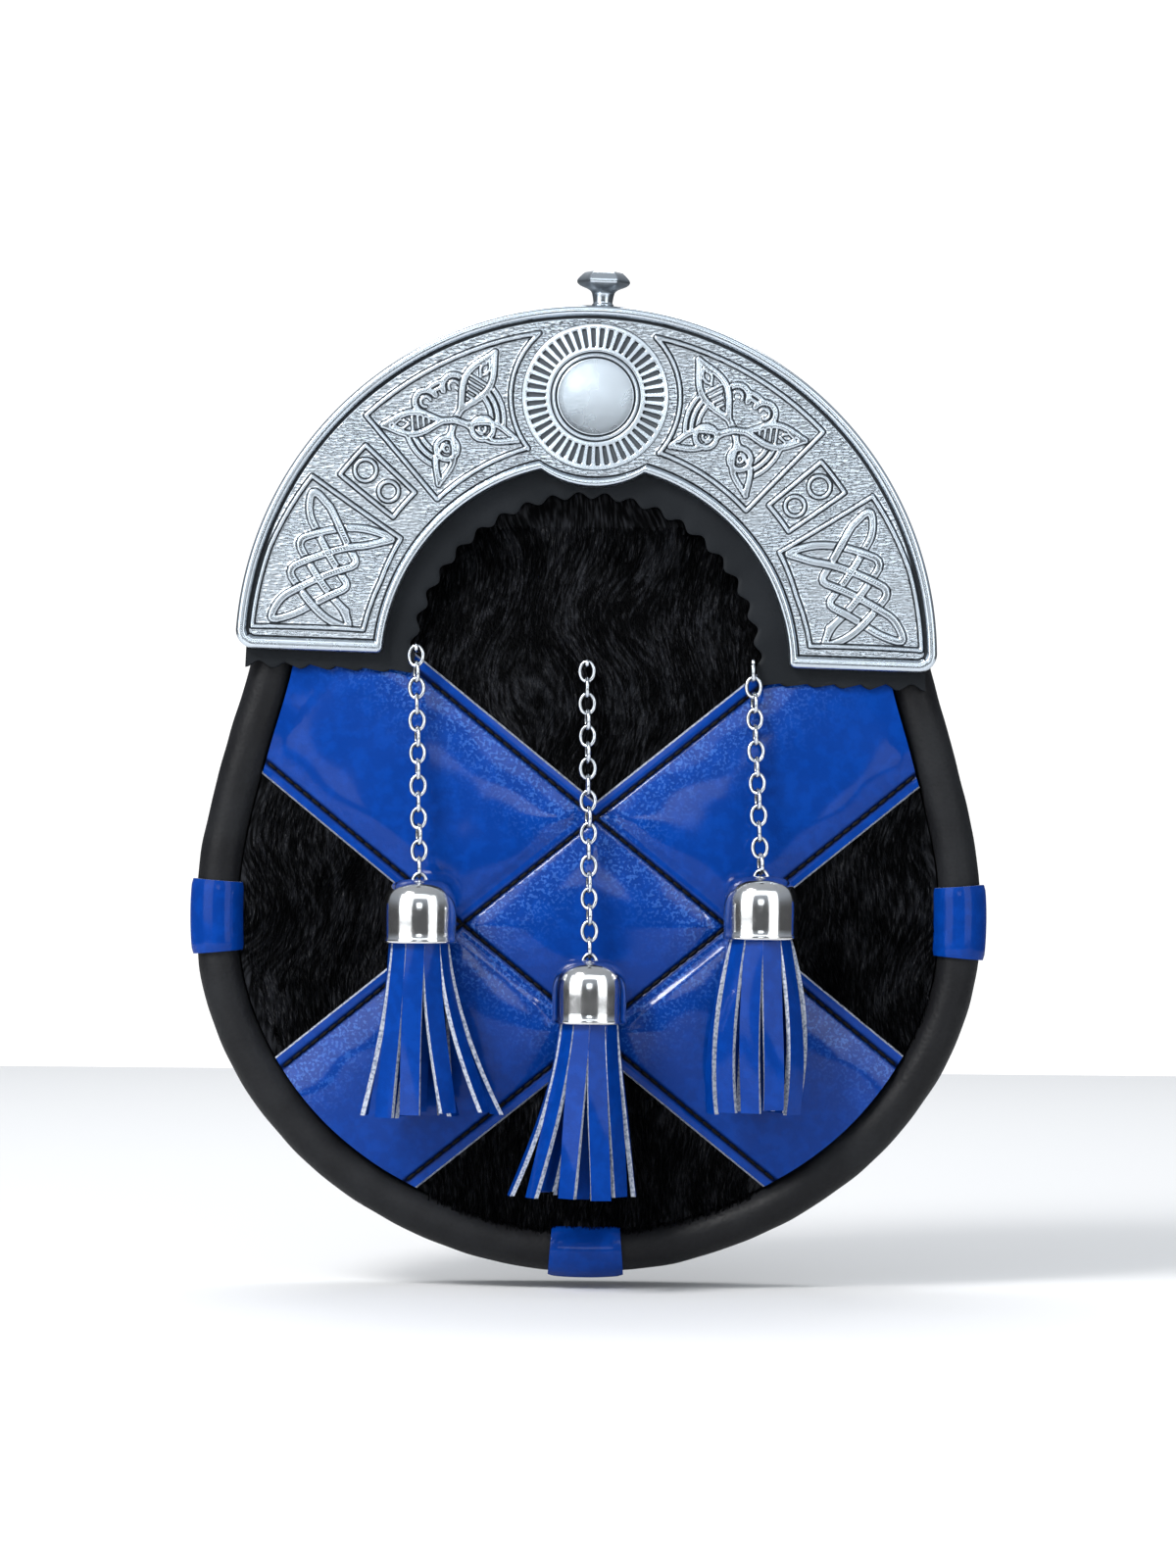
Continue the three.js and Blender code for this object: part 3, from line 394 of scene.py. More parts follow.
@dataclass(frozen=True)
class BlackLeather:
    """Black leather with a grain of small cells and a worn sheen."""

    name: str
    dark: Color = (0.005, 0.005, 0.006)
    light: Color = (0.014, 0.015, 0.017)
    grain_mm: float = 0.8
    grain_depth_mm: float = 0.05
    roughness: float = 0.42

    def material(self) -> bpy.types.Material:
        """Builds the material.

        Returns:
            The material.
        """
        shader = Shader(self.name)
        warp = shader.noise(6, 2)
        grain = shader.cells(self.grain_mm, "SMOOTH_F1")
        folds = shader.noise(9, 3)
        worn = shader.noise(20, 2).step(0.35, 0.7)
        color = shader.blend(self.dark, self.light, worn * 0.7 + grain * 0.25)
        soft = shader.bump(folds, 0.25)
        normal = shader.bump(grain * 0.8 + warp * 0.2, self.grain_depth_mm, soft)
        rough = self.roughness + 0.14 * worn + 0.1 * (1 - grain)
        return shader.surface(Base_Color=color, Roughness=rough, Specular_IOR_Level=0.17, Normal=normal)


HAIR_SWIRL_MM = 26


@dataclass(frozen=True)
class Hair:
    """Short black cow hair, or the dark skin under it, with lighter streaks of painted sheen."""

    name: str
    dark: Color = (0.0003, 0.0004, 0.0006)
    light: Color = (0.011, 0.012, 0.0155)
    roughness: float = 0.4
    sway: float = 0.019

    def material(self) -> bpy.types.Material:
        """Builds the material.

        Returns:
            The material.
        """
        shader = Shader(self.name)
        swirl = shader.noise(HAIR_SWIRL_MM, 0.0, output="Color")
        centred = shader.vector("SUBTRACT", swirl, (0.5, 0.5, 0.5))
        bent = shader.vector("ADD", shader.place, shader.vector("MULTIPLY", centred, (self.sway, 0.0, 0.0)))
        along = shader.mapped(bent, Scale=(1.0, 1.0, 0.14))
        streaks = shader.noise(0.62, 3, along)
        locks = shader.noise(6, 3, shader.mapped(bent, Scale=(1.0, 1.0, 0.4)))
        # Painted sheen: lighter streaks along the hair stand in for the light that the strands catch.
        lit = (streaks * 0.6 + locks * 0.4).step(0.44, 0.72)
        color = shader.blend(self.dark, self.light, lit)
        return shader.surface(
            Base_Color=color,
            Roughness=self.roughness + 0.25 * locks,
            Specular_IOR_Level=0.03,
            Coat_Weight=0.32 * lit,
            Coat_Roughness=0.3,
            Normal=shader.bump(streaks, 0.12),
        )


@dataclass(frozen=True)
class CastMetal:
    """White metal cast with relief, polished on its heights, with painted shade in its recesses and along its
    outlines.
    """

    name: str = "cast_cantle_metal"
    bright: Color = (0.63, 0.70, 0.77)
    worn: Color = (0.46, 0.49, 0.52)
    painted_shade_color: Color = (0.010, 0.012, 0.015)
    dash_mm: float = 0.95
    dash_turn_deg: float = -38

    def _dashes(self, shader: Shader) -> Wire:
        """Lays out the ground's short slanting dents, the two halves mirrored.

        Args:
            shader: the material under construction.

        Returns:
            The distance from each dent's middle.
        """
        lifted = shader.vector("ADD", shader.place, (0.0, 0.0, 0.3))
        mirrored = shader.wire("ShaderNodeVectorMath", {"operation": "ABSOLUTE"}, {0: lifted})
        turn = (0.0, math.radians(self.dash_turn_deg), 0.0)
        slanted = shader.mapped(mirrored, Rotation=turn, Scale=(0.55, 0.1, 1.35))
        return shader.cells(self.dash_mm, "F1", slanted)

    def material(self) -> bpy.types.Material:
        """Builds the material.

        Returns:
            The material.
        """
        shader = Shader(self.name)
        # Painted shade: the share stored on the mesh darkens recesses, outlines, grooves and slots, as shade
        # would.
        painted_shading = shader.attribute("painted_shading").step(0.08, 0.75)
        ground = shader.attribute("ground")
        pebbles = self._dashes(shader)
        # Painted shade: the dents of the matted ground are darkened.
        dots = pebbles.step(0.42, 0.2) * ground
        clouds = shader.noise(18, 3).step(0.35, 0.7)
        metal = shader.blend(self.bright, self.worn, clouds * 0.4 + ground * 0.2)
        dark = (painted_shading * 0.97 + dots * 0.62).capped(1.0)
        color = shader.blend(metal, self.painted_shade_color, dark)
        pits = shader.bump(pebbles * ground, 0.2)
        scratches = shader.noise(0.7, 3)
        normal = shader.bump(scratches, 0.012, pits)
        rough = 0.2 + 0.1 * clouds + 0.35 * dark
        return shader.surface(Base_Color=color, Metallic=1.0, Roughness=rough, Normal=normal)


@dataclass(frozen=True)
class PolishedMetal:
    """Bright plated metal with fine polishing marks and small stains, and painted shade where its mesh stores
    a share of it.
    """

    name: str
    bright: Color = (0.76, 0.76, 0.76)
    stain: Color = (0.34, 0.31, 0.27)
    shade: Color = (0.012, 0.012, 0.014)
    roughness: float = 0.1

    def material(self) -> bpy.types.Material:
        """Builds the material.

        Returns:
            The material.
        """
        shader = Shader(self.name)
        stains = shader.noise(5, 4).step(0.52, 0.8)
        marks = shader.noise(0.35, 2, shader.mapped(shader.place, Scale=(1.0, 1.0, 0.3)))
        color = shader.blend(self.bright, self.stain, stains * 0.4)
        # Painted shade: the share stored on a mesh, the inner side of each chain link, darkens the metal.
        color = shader.blend(color, self.shade, shader.attribute("painted_shading") * 0.9)
        rough = self.roughness + 0.12 * stains + 0.06 * marks
        return shader.surface(
            Base_Color=color, Metallic=1.0, Roughness=rough, Normal=shader.bump(marks, 0.004)
        )


@dataclass(frozen=True)
class WaxedThread:
    """Black waxed sewing thread."""

    name: str = "black_thread"
    dark: Color = (0.002, 0.002, 0.003)
    light: Color = (0.007, 0.007, 0.009)

    def material(self) -> bpy.types.Material:
        """Builds the material.

        Returns:
            The material.
        """
        shader = Shader(self.name)
        twist = shader.noise(0.5, 2)
        return shader.surface(
            Base_Color=shader.blend(self.dark, self.light, twist),
            Roughness=0.5 + 0.1 * twist,
            Specular_IOR_Level=0.08,
            Normal=shader.bump(twist, 0.05),
        )


@dataclass(frozen=True)
class StudioPaint:
    """The pale paint of the studio's floor."""

    name: str = "studio_paint"
    color: Color = (0.72, 0.723, 0.73)

    def material(self) -> bpy.types.Material:
        """Builds the material.

        Returns:
            The material.
        """
        shader = Shader(self.name)
        tone = shader.noise(700, 1)
        color = shader.blend(self.color, tuple(0.985 * c for c in self.color), tone)
        return shader.surface(Base_Color=color, Roughness=0.8 + 0.1 * tone)


class Finishes:
    """Every material of the sporran, made once."""

    def __init__(self) -> None:
        """Builds the materials."""
        self.patent = PatentLeather().material()
        self.cut = CutEdge().material()
        self.roll = BlackLeather("soft_roll_leather", grain_mm=0.9, grain_depth_mm=0.09).material()
        self.facing = BlackLeather(
            "smooth_facing_leather",
            dark=(0.004, 0.0055, 0.0075),
            light=(0.009, 0.011, 0.014),
            grain_mm=0.5,
            grain_depth_mm=0.02,
            roughness=0.46,
        ).material()
        self.pouch = BlackLeather("pouch_leather", grain_mm=1.1, grain_depth_mm=0.06).material()
        self.skin = Hair("hide_skin", roughness=0.6).material()
        self.hair = Hair("hide_hair").material()
        self.cast = CastMetal().material()
        self.bright = PolishedMetal("polished_metal").material()
        self.chain = PolishedMetal("chain_metal", bright=(0.66, 0.69, 0.73), roughness=0.1).material()
        self.thread = WaxedThread().material()
        self.paint = StudioPaint().material()


# Meshes


@dataclass
class Form:
    """Points in millimetres and quads, with a number for each quad that says its kind."""

    points: Array
    quads: Array
    kinds: Array

    def joined(self, other: Form) -> Form:
        """Gives one form that holds both."""
        return Form(
            np.vstack([self.points, other.points]),
            np.vstack([self.quads, other.quads + len(self.points)]),
            np.concatenate([self.kinds, other.kinds]),
        )


FRONT, BACK, EDGE = 0, 1, 2
FAR = 99.0  # a distance beyond any that counts


def xyz(x: Array | float, y: Array | float, z: Array | float) -> Array:
    """Gives points from their coordinates, which are stretched to one shape."""
    return np.stack(np.broadcast_arrays(x, y, z), axis=-1)


def stand(place: Array, y: Array | float) -> Array:
    """Gives points from their places on the front, which hold x and z, and their y."""
    return xyz(place[..., 0], y, place[..., 1])


def circle(count: int) -> Array:
    """Gives evenly spaced angles of a full turn, in radians."""
    return np.linspace(0, 2 * math.pi, count, endpoint=False)


def unit(vectors: Array) -> Array:
    """Gives vectors of length 1 that point as these do."""
    return vectors / np.maximum(np.linalg.norm(vectors, axis=-1, keepdims=True), 1e-6)


def grid_quads(rows: int, cols: int, around: bool = False, along: bool = False) -> Array:
    """Makes the quads of a grid of points.

    Args:
        rows: rows of points.
        cols: points in a row.
        around: whether each row closes on itself.
        along: whether the last row joins the first.

    Returns:
        Quads of point numbers, where point r, c has number r * cols + c.
    """
    r, c = np.meshgrid(
        np.arange(rows if along else rows - 1), np.arange(cols if around else cols - 1), indexing="ij"
    )
    r2, c2 = (r + 1) % rows, (c + 1) % cols
    return np.stack([r * cols + c, r * cols + c2, r2 * cols + c2, r2 * cols + c], axis=-1).reshape(-1, 4)


def shell(front: Array, back: Array, around: bool = False) -> Form:
    """Closes the space between two grids of points.

    Args:
        front: rows of points of the outer surface.
        back: as many points of the inner surface.
        around: whether each row closes on itself.

    Returns:
        The closed form. Its walls have the kind EDGE.
    """
    rows, cols = front.shape[:2]
    size = rows * cols
    faces = grid_quads(rows, cols, around)
    index = np.arange(size).reshape(rows, cols)
    walls = []
    loops = [(index[0], False), (index[-1], True)]
    if not around:
        loops += [(index[:, 0], True), (index[:, -1], False)]
    for loop, flip in loops:
        a, b = (loop, np.roll(loop, -1)) if around else (loop[:-1], loop[1:])
        quad = np.stack([a, a + size, b + size, b], axis=-1)
        walls.append(quad[:, ::-1] if flip else quad)
    wall = np.vstack(walls)
    quads = np.vstack([faces, faces[:, ::-1] + size, wall])
    kinds = np.concatenate([np.full(len(faces), FRONT), np.full(len(faces), BACK), np.full(len(wall), EDGE)])
    return Form(np.vstack([front.reshape(-1, 3), back.reshape(-1, 3)]), quads, kinds)


def tube(sections: Array, closed: bool) -> Form:
    """Joins sections of a tube.

    Args:
        sections: an array of sections, each a loop of points.
        closed: whether the last section joins the first. If not, the ends are capped.

    Returns:
        The closed form. Its caps have the kind EDGE.
    """
    rows, cols = sections.shape[:2]
    quads = grid_quads(rows, cols, around=True, along=closed)
    kinds = np.full(len(quads), FRONT)
    points = sections.reshape(-1, 3)
    if not closed:
        for row, flip in ((0, True), (rows - 1, False)):
            middle = len(points)
            points = np.vstack([points, sections[row].mean(axis=0)])
            loop = row * cols + np.arange(cols)
            cap = np.stack([loop, np.roll(loop, -1), np.full(cols, middle), np.full(cols, middle)], axis=-1)
            quads = np.vstack([quads, cap[:, ::-1] if flip else cap])
            kinds = np.concatenate([kinds, np.full(cols, EDGE)])
    return Form(points, quads, kinds)


def turned(profile: Array | Sequence[tuple[float, float]], segments: int, closed: bool = False) -> Form:
    """Turns a profile about the vertical axis.

    Args:
        profile: radius and height of each point.
        segments: points round the axis.
        closed: whether the profile's end joins its start, as for a hollow bell.

    Returns:
        The form.
    """
    angles = circle(segments)
    rows = np.array(profile)
    points = xyz(rows[:, :1] * np.cos(angles), rows[:, :1] * np.sin(angles), rows[:, 1:])
    quads = grid_quads(len(rows), segments, around=True, along=closed)
    return Form(points.reshape(-1, 3), quads, np.full(len(quads), FRONT))


def rounded(points: Array, passes: int = 2) -> Array:
    """Cuts the corners of an open line of points until it is smooth.

    Args:
        points: the line's points.
        passes: how many times its corners are cut.

    Returns:
        The smooth line, with the same ends.
    """
    points = np.asarray(points)
    for _ in range(passes):
        near = points[:-1] * 0.75 + points[1:] * 0.25
        far = points[:-1] * 0.25 + points[1:] * 0.75
        cut = np.stack([near, far], axis=1).reshape(-1, points.shape[1])
        points = np.vstack([points[:1], cut, points[-1:]])
    return points


def link_object(name: str, data: bpy.types.ID | None) -> bpy.types.Object:
    """Makes an object and puts it in the scene."""
    made = bpy.data.objects.new(name, data)
    bpy.context.scene.collection.objects.link(made)
    return made


def store(mesh: bpy.types.Mesh, name: str, values: Array) -> None:
    """Stores a number on each of a mesh's points, for its shader to read."""
    stored = mesh.attributes.new(name, "FLOAT", "POINT")
    stored.data.foreach_set("value", values.ravel().astype(np.float32))


def add_piece(
    name: str,
    form: Form,
    materials: Sequence[bpy.types.Material],
    kinds: Mapping[int, int] | None = None,
    sharp_deg: float | None = 40.0,
    merge: bool = True,
) -> bpy.types.Object:
    """Makes an object from a form.

    Args:
        name: the object's name.
        form: its points and quads, in millimetres.
        materials: its materials.
        kinds: which material each kind of quad has, the first unless given.
        sharp_deg: edges that bend more than this stay sharp, or None for none.
        merge: whether points in one place become one.

    Returns:
        The object.
    """
    faces, numbers = form.quads.tolist(), form.kinds
    if merge:
        faces = [list(dict.fromkeys(face)) for face in faces]
        keep = [i for i, face in enumerate(faces) if len(face) > 2]
        faces, numbers = [faces[i] for i in keep], form.kinds[keep]
    mesh = bpy.data.meshes.new(name)
    mesh.from_pydata((form.points * MM).tolist(), [], faces)
    for material in materials:
        mesh.materials.append(material)
    if kinds:
        slots = np.array([kinds.get(int(k), 0) for k in numbers], dtype=np.int32)
        mesh.polygons.foreach_set("material_index", slots)
    if merge:
        shape = bmesh.new()
        shape.from_mesh(mesh)
        bmesh.ops.remove_doubles(shape, verts=shape.verts, dist=1e-6)
        bmesh.ops.recalc_face_normals(shape, faces=shape.faces)
        shape.to_mesh(mesh)
        shape.free()
    mesh.shade_smooth()
    if sharp_deg is not None:
        mesh.set_sharp_from_angle(angle=math.radians(sharp_deg))
    mesh.update()
    return link_object(name, mesh)


def settle(piece: bpy.types.Object, slot: Slot, *nodes: str) -> bpy.types.Object:
    """Fixes a piece to the sporran.

    Args:
        piece: the piece.
        slot: the record's slot that it stands for; it is not used.
        nodes: the CAD nodes that it stands for.

    Returns:
        The piece.
    """
    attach(piece, "root")
    if nodes:
        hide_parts(*nodes)
    LOG.info("%s: %d faces", piece.name, len(piece.data.polygons))
    return piece


# Geometry Nodes


class GeometryTree(Graph):
    """A Geometry Nodes tree under construction, with named inputs."""

    def __init__(self, name: str, inputs: Mapping[str, tuple[str, Any]]) -> None:
        """Starts the tree.

        Args:
            name: the tree's name.
            inputs: each input's socket type and first value, by its name.
        """
        super().__init__(bpy.data.node_groups.new(name, "GeometryNodeTree"))
        self.tree.interface.new_socket("Geometry", in_out="INPUT", socket_type="NodeSocketGeometry")
        for key, (kind, value) in inputs.items():
            socket = self.tree.interface.new_socket(key, in_out="INPUT", socket_type=kind)
            if value is not None:
                socket.default_value = value
        self.tree.interface.new_socket("Geometry", in_out="OUTPUT", socket_type="NodeSocketGeometry")
        self.start = self.node("NodeGroupInput")
        self.end = self.node("NodeGroupOutput")

    def given(self, name: str) -> bpy.types.NodeSocket:
        """Gives the group input of that name."""
        return self.start.outputs[name]

    def finish(self, **inputs: bpy.types.NodeSocket) -> bpy.types.NodeTree:
        """Ends the tree with a form on each point, as real meshes in the given material.

        Args:
            inputs: what goes into the node that puts the forms on the points.

        Returns:
            The tree.
        """
        placed = self.socket("GeometryNodeInstanceOnPoints", {}, inputs)
        real = self.socket("GeometryNodeRealizeInstances", {}, {0: placed})
        dressed = {"Geometry": real, "Material": self.given("Material")}
        self.tree.links.new(self.socket("GeometryNodeSetMaterial", {}, dressed), self.end.inputs[0])
        return self.tree


def grow(
    name: str, base: bpy.types.Object, tree: bpy.types.NodeTree, values: Mapping[str, Any]
) -> bpy.types.Object:
    """Runs a tree on an object and keeps the result as a plain mesh.

    Args:
        name: the new object's name.
        base: the object that the tree starts from, which is removed.
        tree: the tree.
        values: its inputs, by name.

    Returns:
        The new object.
    """
    modifier = base.modifiers.new(name, "NODES")
    modifier.node_group = tree
    sockets = {item.name: item.identifier for item in tree.interface.items_tree if item.in_out == "INPUT"}
    for key, value in values.items():
        modifier[sockets[key]] = value
    graph = bpy.context.evaluated_depsgraph_get()
    mesh = bpy.data.meshes.new_from_object(base.evaluated_get(graph), depsgraph=graph)
    mesh.name = name
    if values.get("Material") and values["Material"].name not in mesh.materials:
        mesh.materials.append(values["Material"])
    mesh.shade_smooth()
    piece = link_object(name, mesh)
    base.modifiers.clear()
    bpy.data.objects.remove(base, do_unlink=True)
    piece.name = name
    return piece


def stitch_tree() -> bpy.types.NodeTree:
    """Makes the tree that lays stitches along lines.

    Returns:
        The tree.
    """
    made = GeometryTree(
        "stitches",
        {
            "Pitch": ("NodeSocketFloat", 3.3 * MM),
            "Length": ("NodeSocketFloat", 2.5 * MM),
            "Thickness": ("NodeSocketFloat", 0.7 * MM),
            "Facing": ("NodeSocketVector", (0.0, -1.0, 0.0)),
            "Material": ("NodeSocketMaterial", None),
        },
    )
    line = made.socket("GeometryNodeMeshToCurve", {}, {0: made.given("Geometry")})
    spacing = {"Curve": line, "Length": made.given("Pitch")}
    tangent = made.socket("GeometryNodeInputTangent")
    along = made.socket("FunctionNodeAlignRotationToVector", {"axis": "X"}, {"Vector": tangent})
    width = made.given("Thickness")
    return made.finish(
        Points=made.socket("GeometryNodeResampleCurve", {"mode": "LENGTH"}, spacing),
        Instance=made.socket("GeometryNodeMeshUVSphere", {}, {"Segments": 6, "Rings": 4, "Radius": 0.5}),
        Rotation=made.socket(
            "FunctionNodeAlignRotationToVector",
            {"axis": "Z", "pivot_axis": "X"},
            {"Rotation": along, "Vector": made.given("Facing")},
        ),
        Scale=made.socket("ShaderNodeCombineXYZ", {}, {0: made.given("Length"), 1: width, 2: width}),
    )


def hair_tree() -> bpy.types.NodeTree:
    """Makes the tree that covers a patch of hide with short hair.

    Returns:
        The tree.
    """
    made = GeometryTree(
        "hide_hair",
        {
            "Density": ("NodeSocketFloat", 4.0e6),
            "Length": ("NodeSocketFloat", 7.0 * MM),
            "Width": ("NodeSocketFloat", 0.24 * MM),
            "Lift": ("NodeSocketFloat", 0.12),
            "Spread": ("NodeSocketFloat", 0.24),
            "Seed": ("NodeSocketInt", 7),
            "Material": ("NodeSocketMaterial", None),
        },
    )
    seed = made.given("Seed")
    roots = made.node(
        "GeometryNodeDistributePointsOnFaces",
        {},
        {"Mesh": made.given("Geometry"), "Density": made.given("Density"), "Seed": seed},
    )
    swirl = {"Scale": 1 / (HAIR_SWIRL_MM * MM), "Detail": 2.0}
    swirled = made.socket("ShaderNodeTexNoise", {}, swirl, "Color")
    centred = made.vector("SUBTRACT", swirled, (0.5, 0.5, 0.5))
    sway = made.vector("MULTIPLY", centred, (2.2, 0.0, 0.5))
    spread = {0: (-1.0, -1.0, -1.0), 1: (1.0, 1.0, 1.0), "Seed": seed}
    chance = made.socket("FunctionNodeRandomValue", {"data_type": "FLOAT_VECTOR"}, spread)
    stray = made.vector("SCALE", chance, made.given("Spread"))
    rise = made.vector("SCALE", roots.outputs["Normal"], made.given("Lift"))
    down = made.vector("ADD", sway, (0.1, 0.0, -1.0))
    flow = made.vector("ADD", made.vector("ADD", down, stray), rise)
    hair = {
        "Vertices": 3,
        "Side Segments": 1,
        "Fill Segments": 1,
        "Radius Top": 0.0,
        "Radius Bottom": made.given("Width"),
        "Depth": made.given("Length"),
    }
    sizes = {2: 0.6, 3: 1.15, "Seed": seed}
    return made.finish(
        Points=roots.outputs["Points"],
        Instance=made.socket("GeometryNodeMeshCone", {}, hair, "Mesh"),
        Rotation=made.socket("FunctionNodeAlignRotationToVector", {"axis": "Z"}, {"Vector": flow}),
        Scale=made.socket("FunctionNodeRandomValue", {"data_type": "FLOAT"}, sizes, 1),
    )


def link_tree() -> bpy.types.NodeTree:
    """Makes the tree that puts a link at each point, turned as the point says.

    Returns:
        The tree.
    """
    made = GeometryTree(
        "chain_links",
        {"Link": ("NodeSocketObject", None), "Material": ("NodeSocketMaterial", None)},
    )
    settings = {"transform_space": "ORIGINAL"}
    link = made.node("GeometryNodeObjectInfo", settings, {"Object": made.given("Link")})
    stored = made.socket("GeometryNodeInputNamedAttribute", {"data_type": "FLOAT_VECTOR"}, {"Name": "turn"})
    return made.finish(
        Points=made.socket("GeometryNodeMeshToPoints", {}, {0: made.given("Geometry")}),
        Instance=link.outputs["Geometry"],
        Rotation=made.socket("FunctionNodeEulerToRotation", {}, {0: stored}),
    )


# The pouch's outline and its stuffed front, as in the solids


# Heights down the pouch's side, and half its width at each.
SIDE_ROWS = (
    (-50, 87.6),
    (-65, 92),
    (-80, 95.9),
    (-95, 98.8),
    (-110, 99.6),
    (-125, 98.4),
    (-140, 93.9),
    (-155, 85.9),
    (-170, 73.4),
    (-182, 58.2),
    (-191, 41),
    (-197.2, 21.5),
)
CANTLE_Z = -43.2


@dataclass
class Outline:
    """The pouch's outline from the front: a closed smooth curve through the sides' rows."""

    top_radius: float = 86.0
    bottom_z: float = -199.2
    steps: int = 48
    probe: float = 0.002

    def __post_init__(self) -> None:
        """Works the curve out."""
        angles = np.radians(np.linspace(-90, 90, 13))
        top = [
            (self.top_radius * math.sin(a), CANTLE_Z + self.top_radius * math.cos(a)) for a in angles
        ]
        right = [(half, z) for z, half in SIDE_ROWS]
        left = [(-half, z) for z, half in reversed(SIDE_ROWS)]
        knots = np.array([*top, *right, (0, self.bottom_z), *left], dtype=float)
        self.curve = self._spline(knots)
        steps = np.linalg.norm(np.roll(self.curve, -1, axis=0) - self.curve, axis=1)
        self.length = float(steps.sum())
        self.reach = np.concatenate([[0], np.cumsum(steps)])

    def _spline(self, knots: Array) -> Array:
        """Draws a closed curve through knots, evenly tight in long and short spans.

        Args:
            knots: the places that the curve passes through.

        Returns:
            The curve's points.
        """
        p0, p1, p2, p3 = (np.roll(knots, shift, axis=0)[:, None] for shift in (1, 0, -1, -2))
        pairs = ((p0, p1), (p1, p2), (p2, p3))
        d0, d1, d2 = (np.sqrt(np.linalg.norm(b - a, axis=-1, keepdims=True)) for a, b in pairs)
        leave = ((p1 - p0) / d0 - (p2 - p0) / (d0 + d1) + (p2 - p1) / d1) * d1
        arrive = ((p2 - p1) / d1 - (p3 - p1) / (d1 + d2) + (p3 - p2) / d2) * d1
        t = np.linspace(0, 1, self.steps, endpoint=False)[None, :, None]
        a, b = -3 * p1 + 3 * p2 - 2 * leave - arrive, 2 * p1 - 2 * p2 + leave + arrive
        return (p1 + leave * t + a * t**2 + b * t**3).reshape(-1, 2)

    def _place(self, shares: Array) -> Array:
        """Gives the points at those shares of the curve's length."""
        loop = np.vstack([self.curve, self.curve[:1]])
        reach = (shares % 1) * self.length
        return np.stack([np.interp(reach, self.reach, loop[:, k]) for k in (0, 1)], axis=-1)

    def at(self, shares: Array) -> tuple[Array, Array]:
        """Gives points of the curve.

        Args:
            shares: how far round the curve, from 0 to 1.

        Returns:
            The points, and the direction into the pouch at each.
        """
        ahead, behind = self._place(shares + self.probe), self._place(shares - self.probe)
        tangent = unit(ahead - behind)
        return self._place(shares), np.stack([tangent[:, 1], -tangent[:, 0]], axis=-1)

    def inset(self, distance: float, count: int) -> Array:
        """Gives evenly spaced points at a distance inside the curve."""
        points, inward = self.at(np.arange(count) / count)
        return points + inward * distance

    def share_near(self, x: float, z: float) -> float:
        """Tells how far round the curve its nearest point to a place is."""
        nearest = np.argmin(np.hypot(self.curve[:, 0] - x, self.curve[:, 1] - z))
        return float(self.reach[nearest] / self.length)


@dataclass
class StuffedFront:
    """The surface of the stuffed hide front."""

    edge_y: float = -33.0
    bulge: float = 7.0
    centre_z: float = -108.0
    half_width: float = 88.4
    half_height: float = 88.0

    def y(self, x: Array | float, z: Array | float) -> Array:
        """Gives the surface's y over a place of the front."""
        across, along = x / self.half_width, (z - self.centre_z) / self.half_height
        return self.edge_y - self.bulge * np.maximum(0, 1 - across**2 - along**2)


OUTLINE = Outline()
STUFFED = StuffedFront()
HEAD_TURN_DEG = 1.6
HEAD_SHIFT_X = -1.2


def turn_head(points: Array) -> Array:
    """Turns points of the headpiece clockwise from the front, and moves them a little aside.

    Args:
        points: the points, as if the headpiece stood straight.

    Returns:
        The points in their places.
    """
    angle = math.radians(HEAD_TURN_DEG)
    x, z = points[..., 0], points[..., 2] - CANTLE_Z
    across = HEAD_SHIFT_X + x * math.cos(angle) + z * math.sin(angle)
    up = CANTLE_Z - x * math.sin(angle) + z * math.cos(angle)
    return xyz(across, points[..., 1], up)


# The cantle


@dataclass
class Band:
    """One band of a knot: its middle line, its half width, and how high it lies along it."""

    line: Array
    half_width: float
    levels: Array

    def pieces(self, longest: float = 0.7) -> Iterable[tuple[Array, Array, float]]:
        """Cuts the band into short straight pieces.

        Args:
            longest: the longest piece.

        Yields:
            The piece's ends and its level.
        """
        for start, end, low, high in zip(self.line[:-1], self.line[1:], self.levels[:-1], self.levels[1:]):
            count = max(1, math.ceil(np.linalg.norm(end - start) / longest))
            for i in range(count):
                a, b, middle = i / count, (i + 1) / count, (i + 0.5) / count
                yield start + (end - start) * a, start + (end - start) * b, low + (high - low) * middle


def line_distance(place: Array, start: Array, end: Array) -> Array:
    """Measures how far places are from a straight piece.

    Args:
        place: the places.
        start: the piece's start.
        end: the piece's end.

    Returns:
        The distances.
    """
    span = end - start
    share = np.clip((place - start) @ span / max(span @ span, 1e-9), 0, 1)
    return np.linalg.norm(place - start - share[:, None] * span, axis=1)


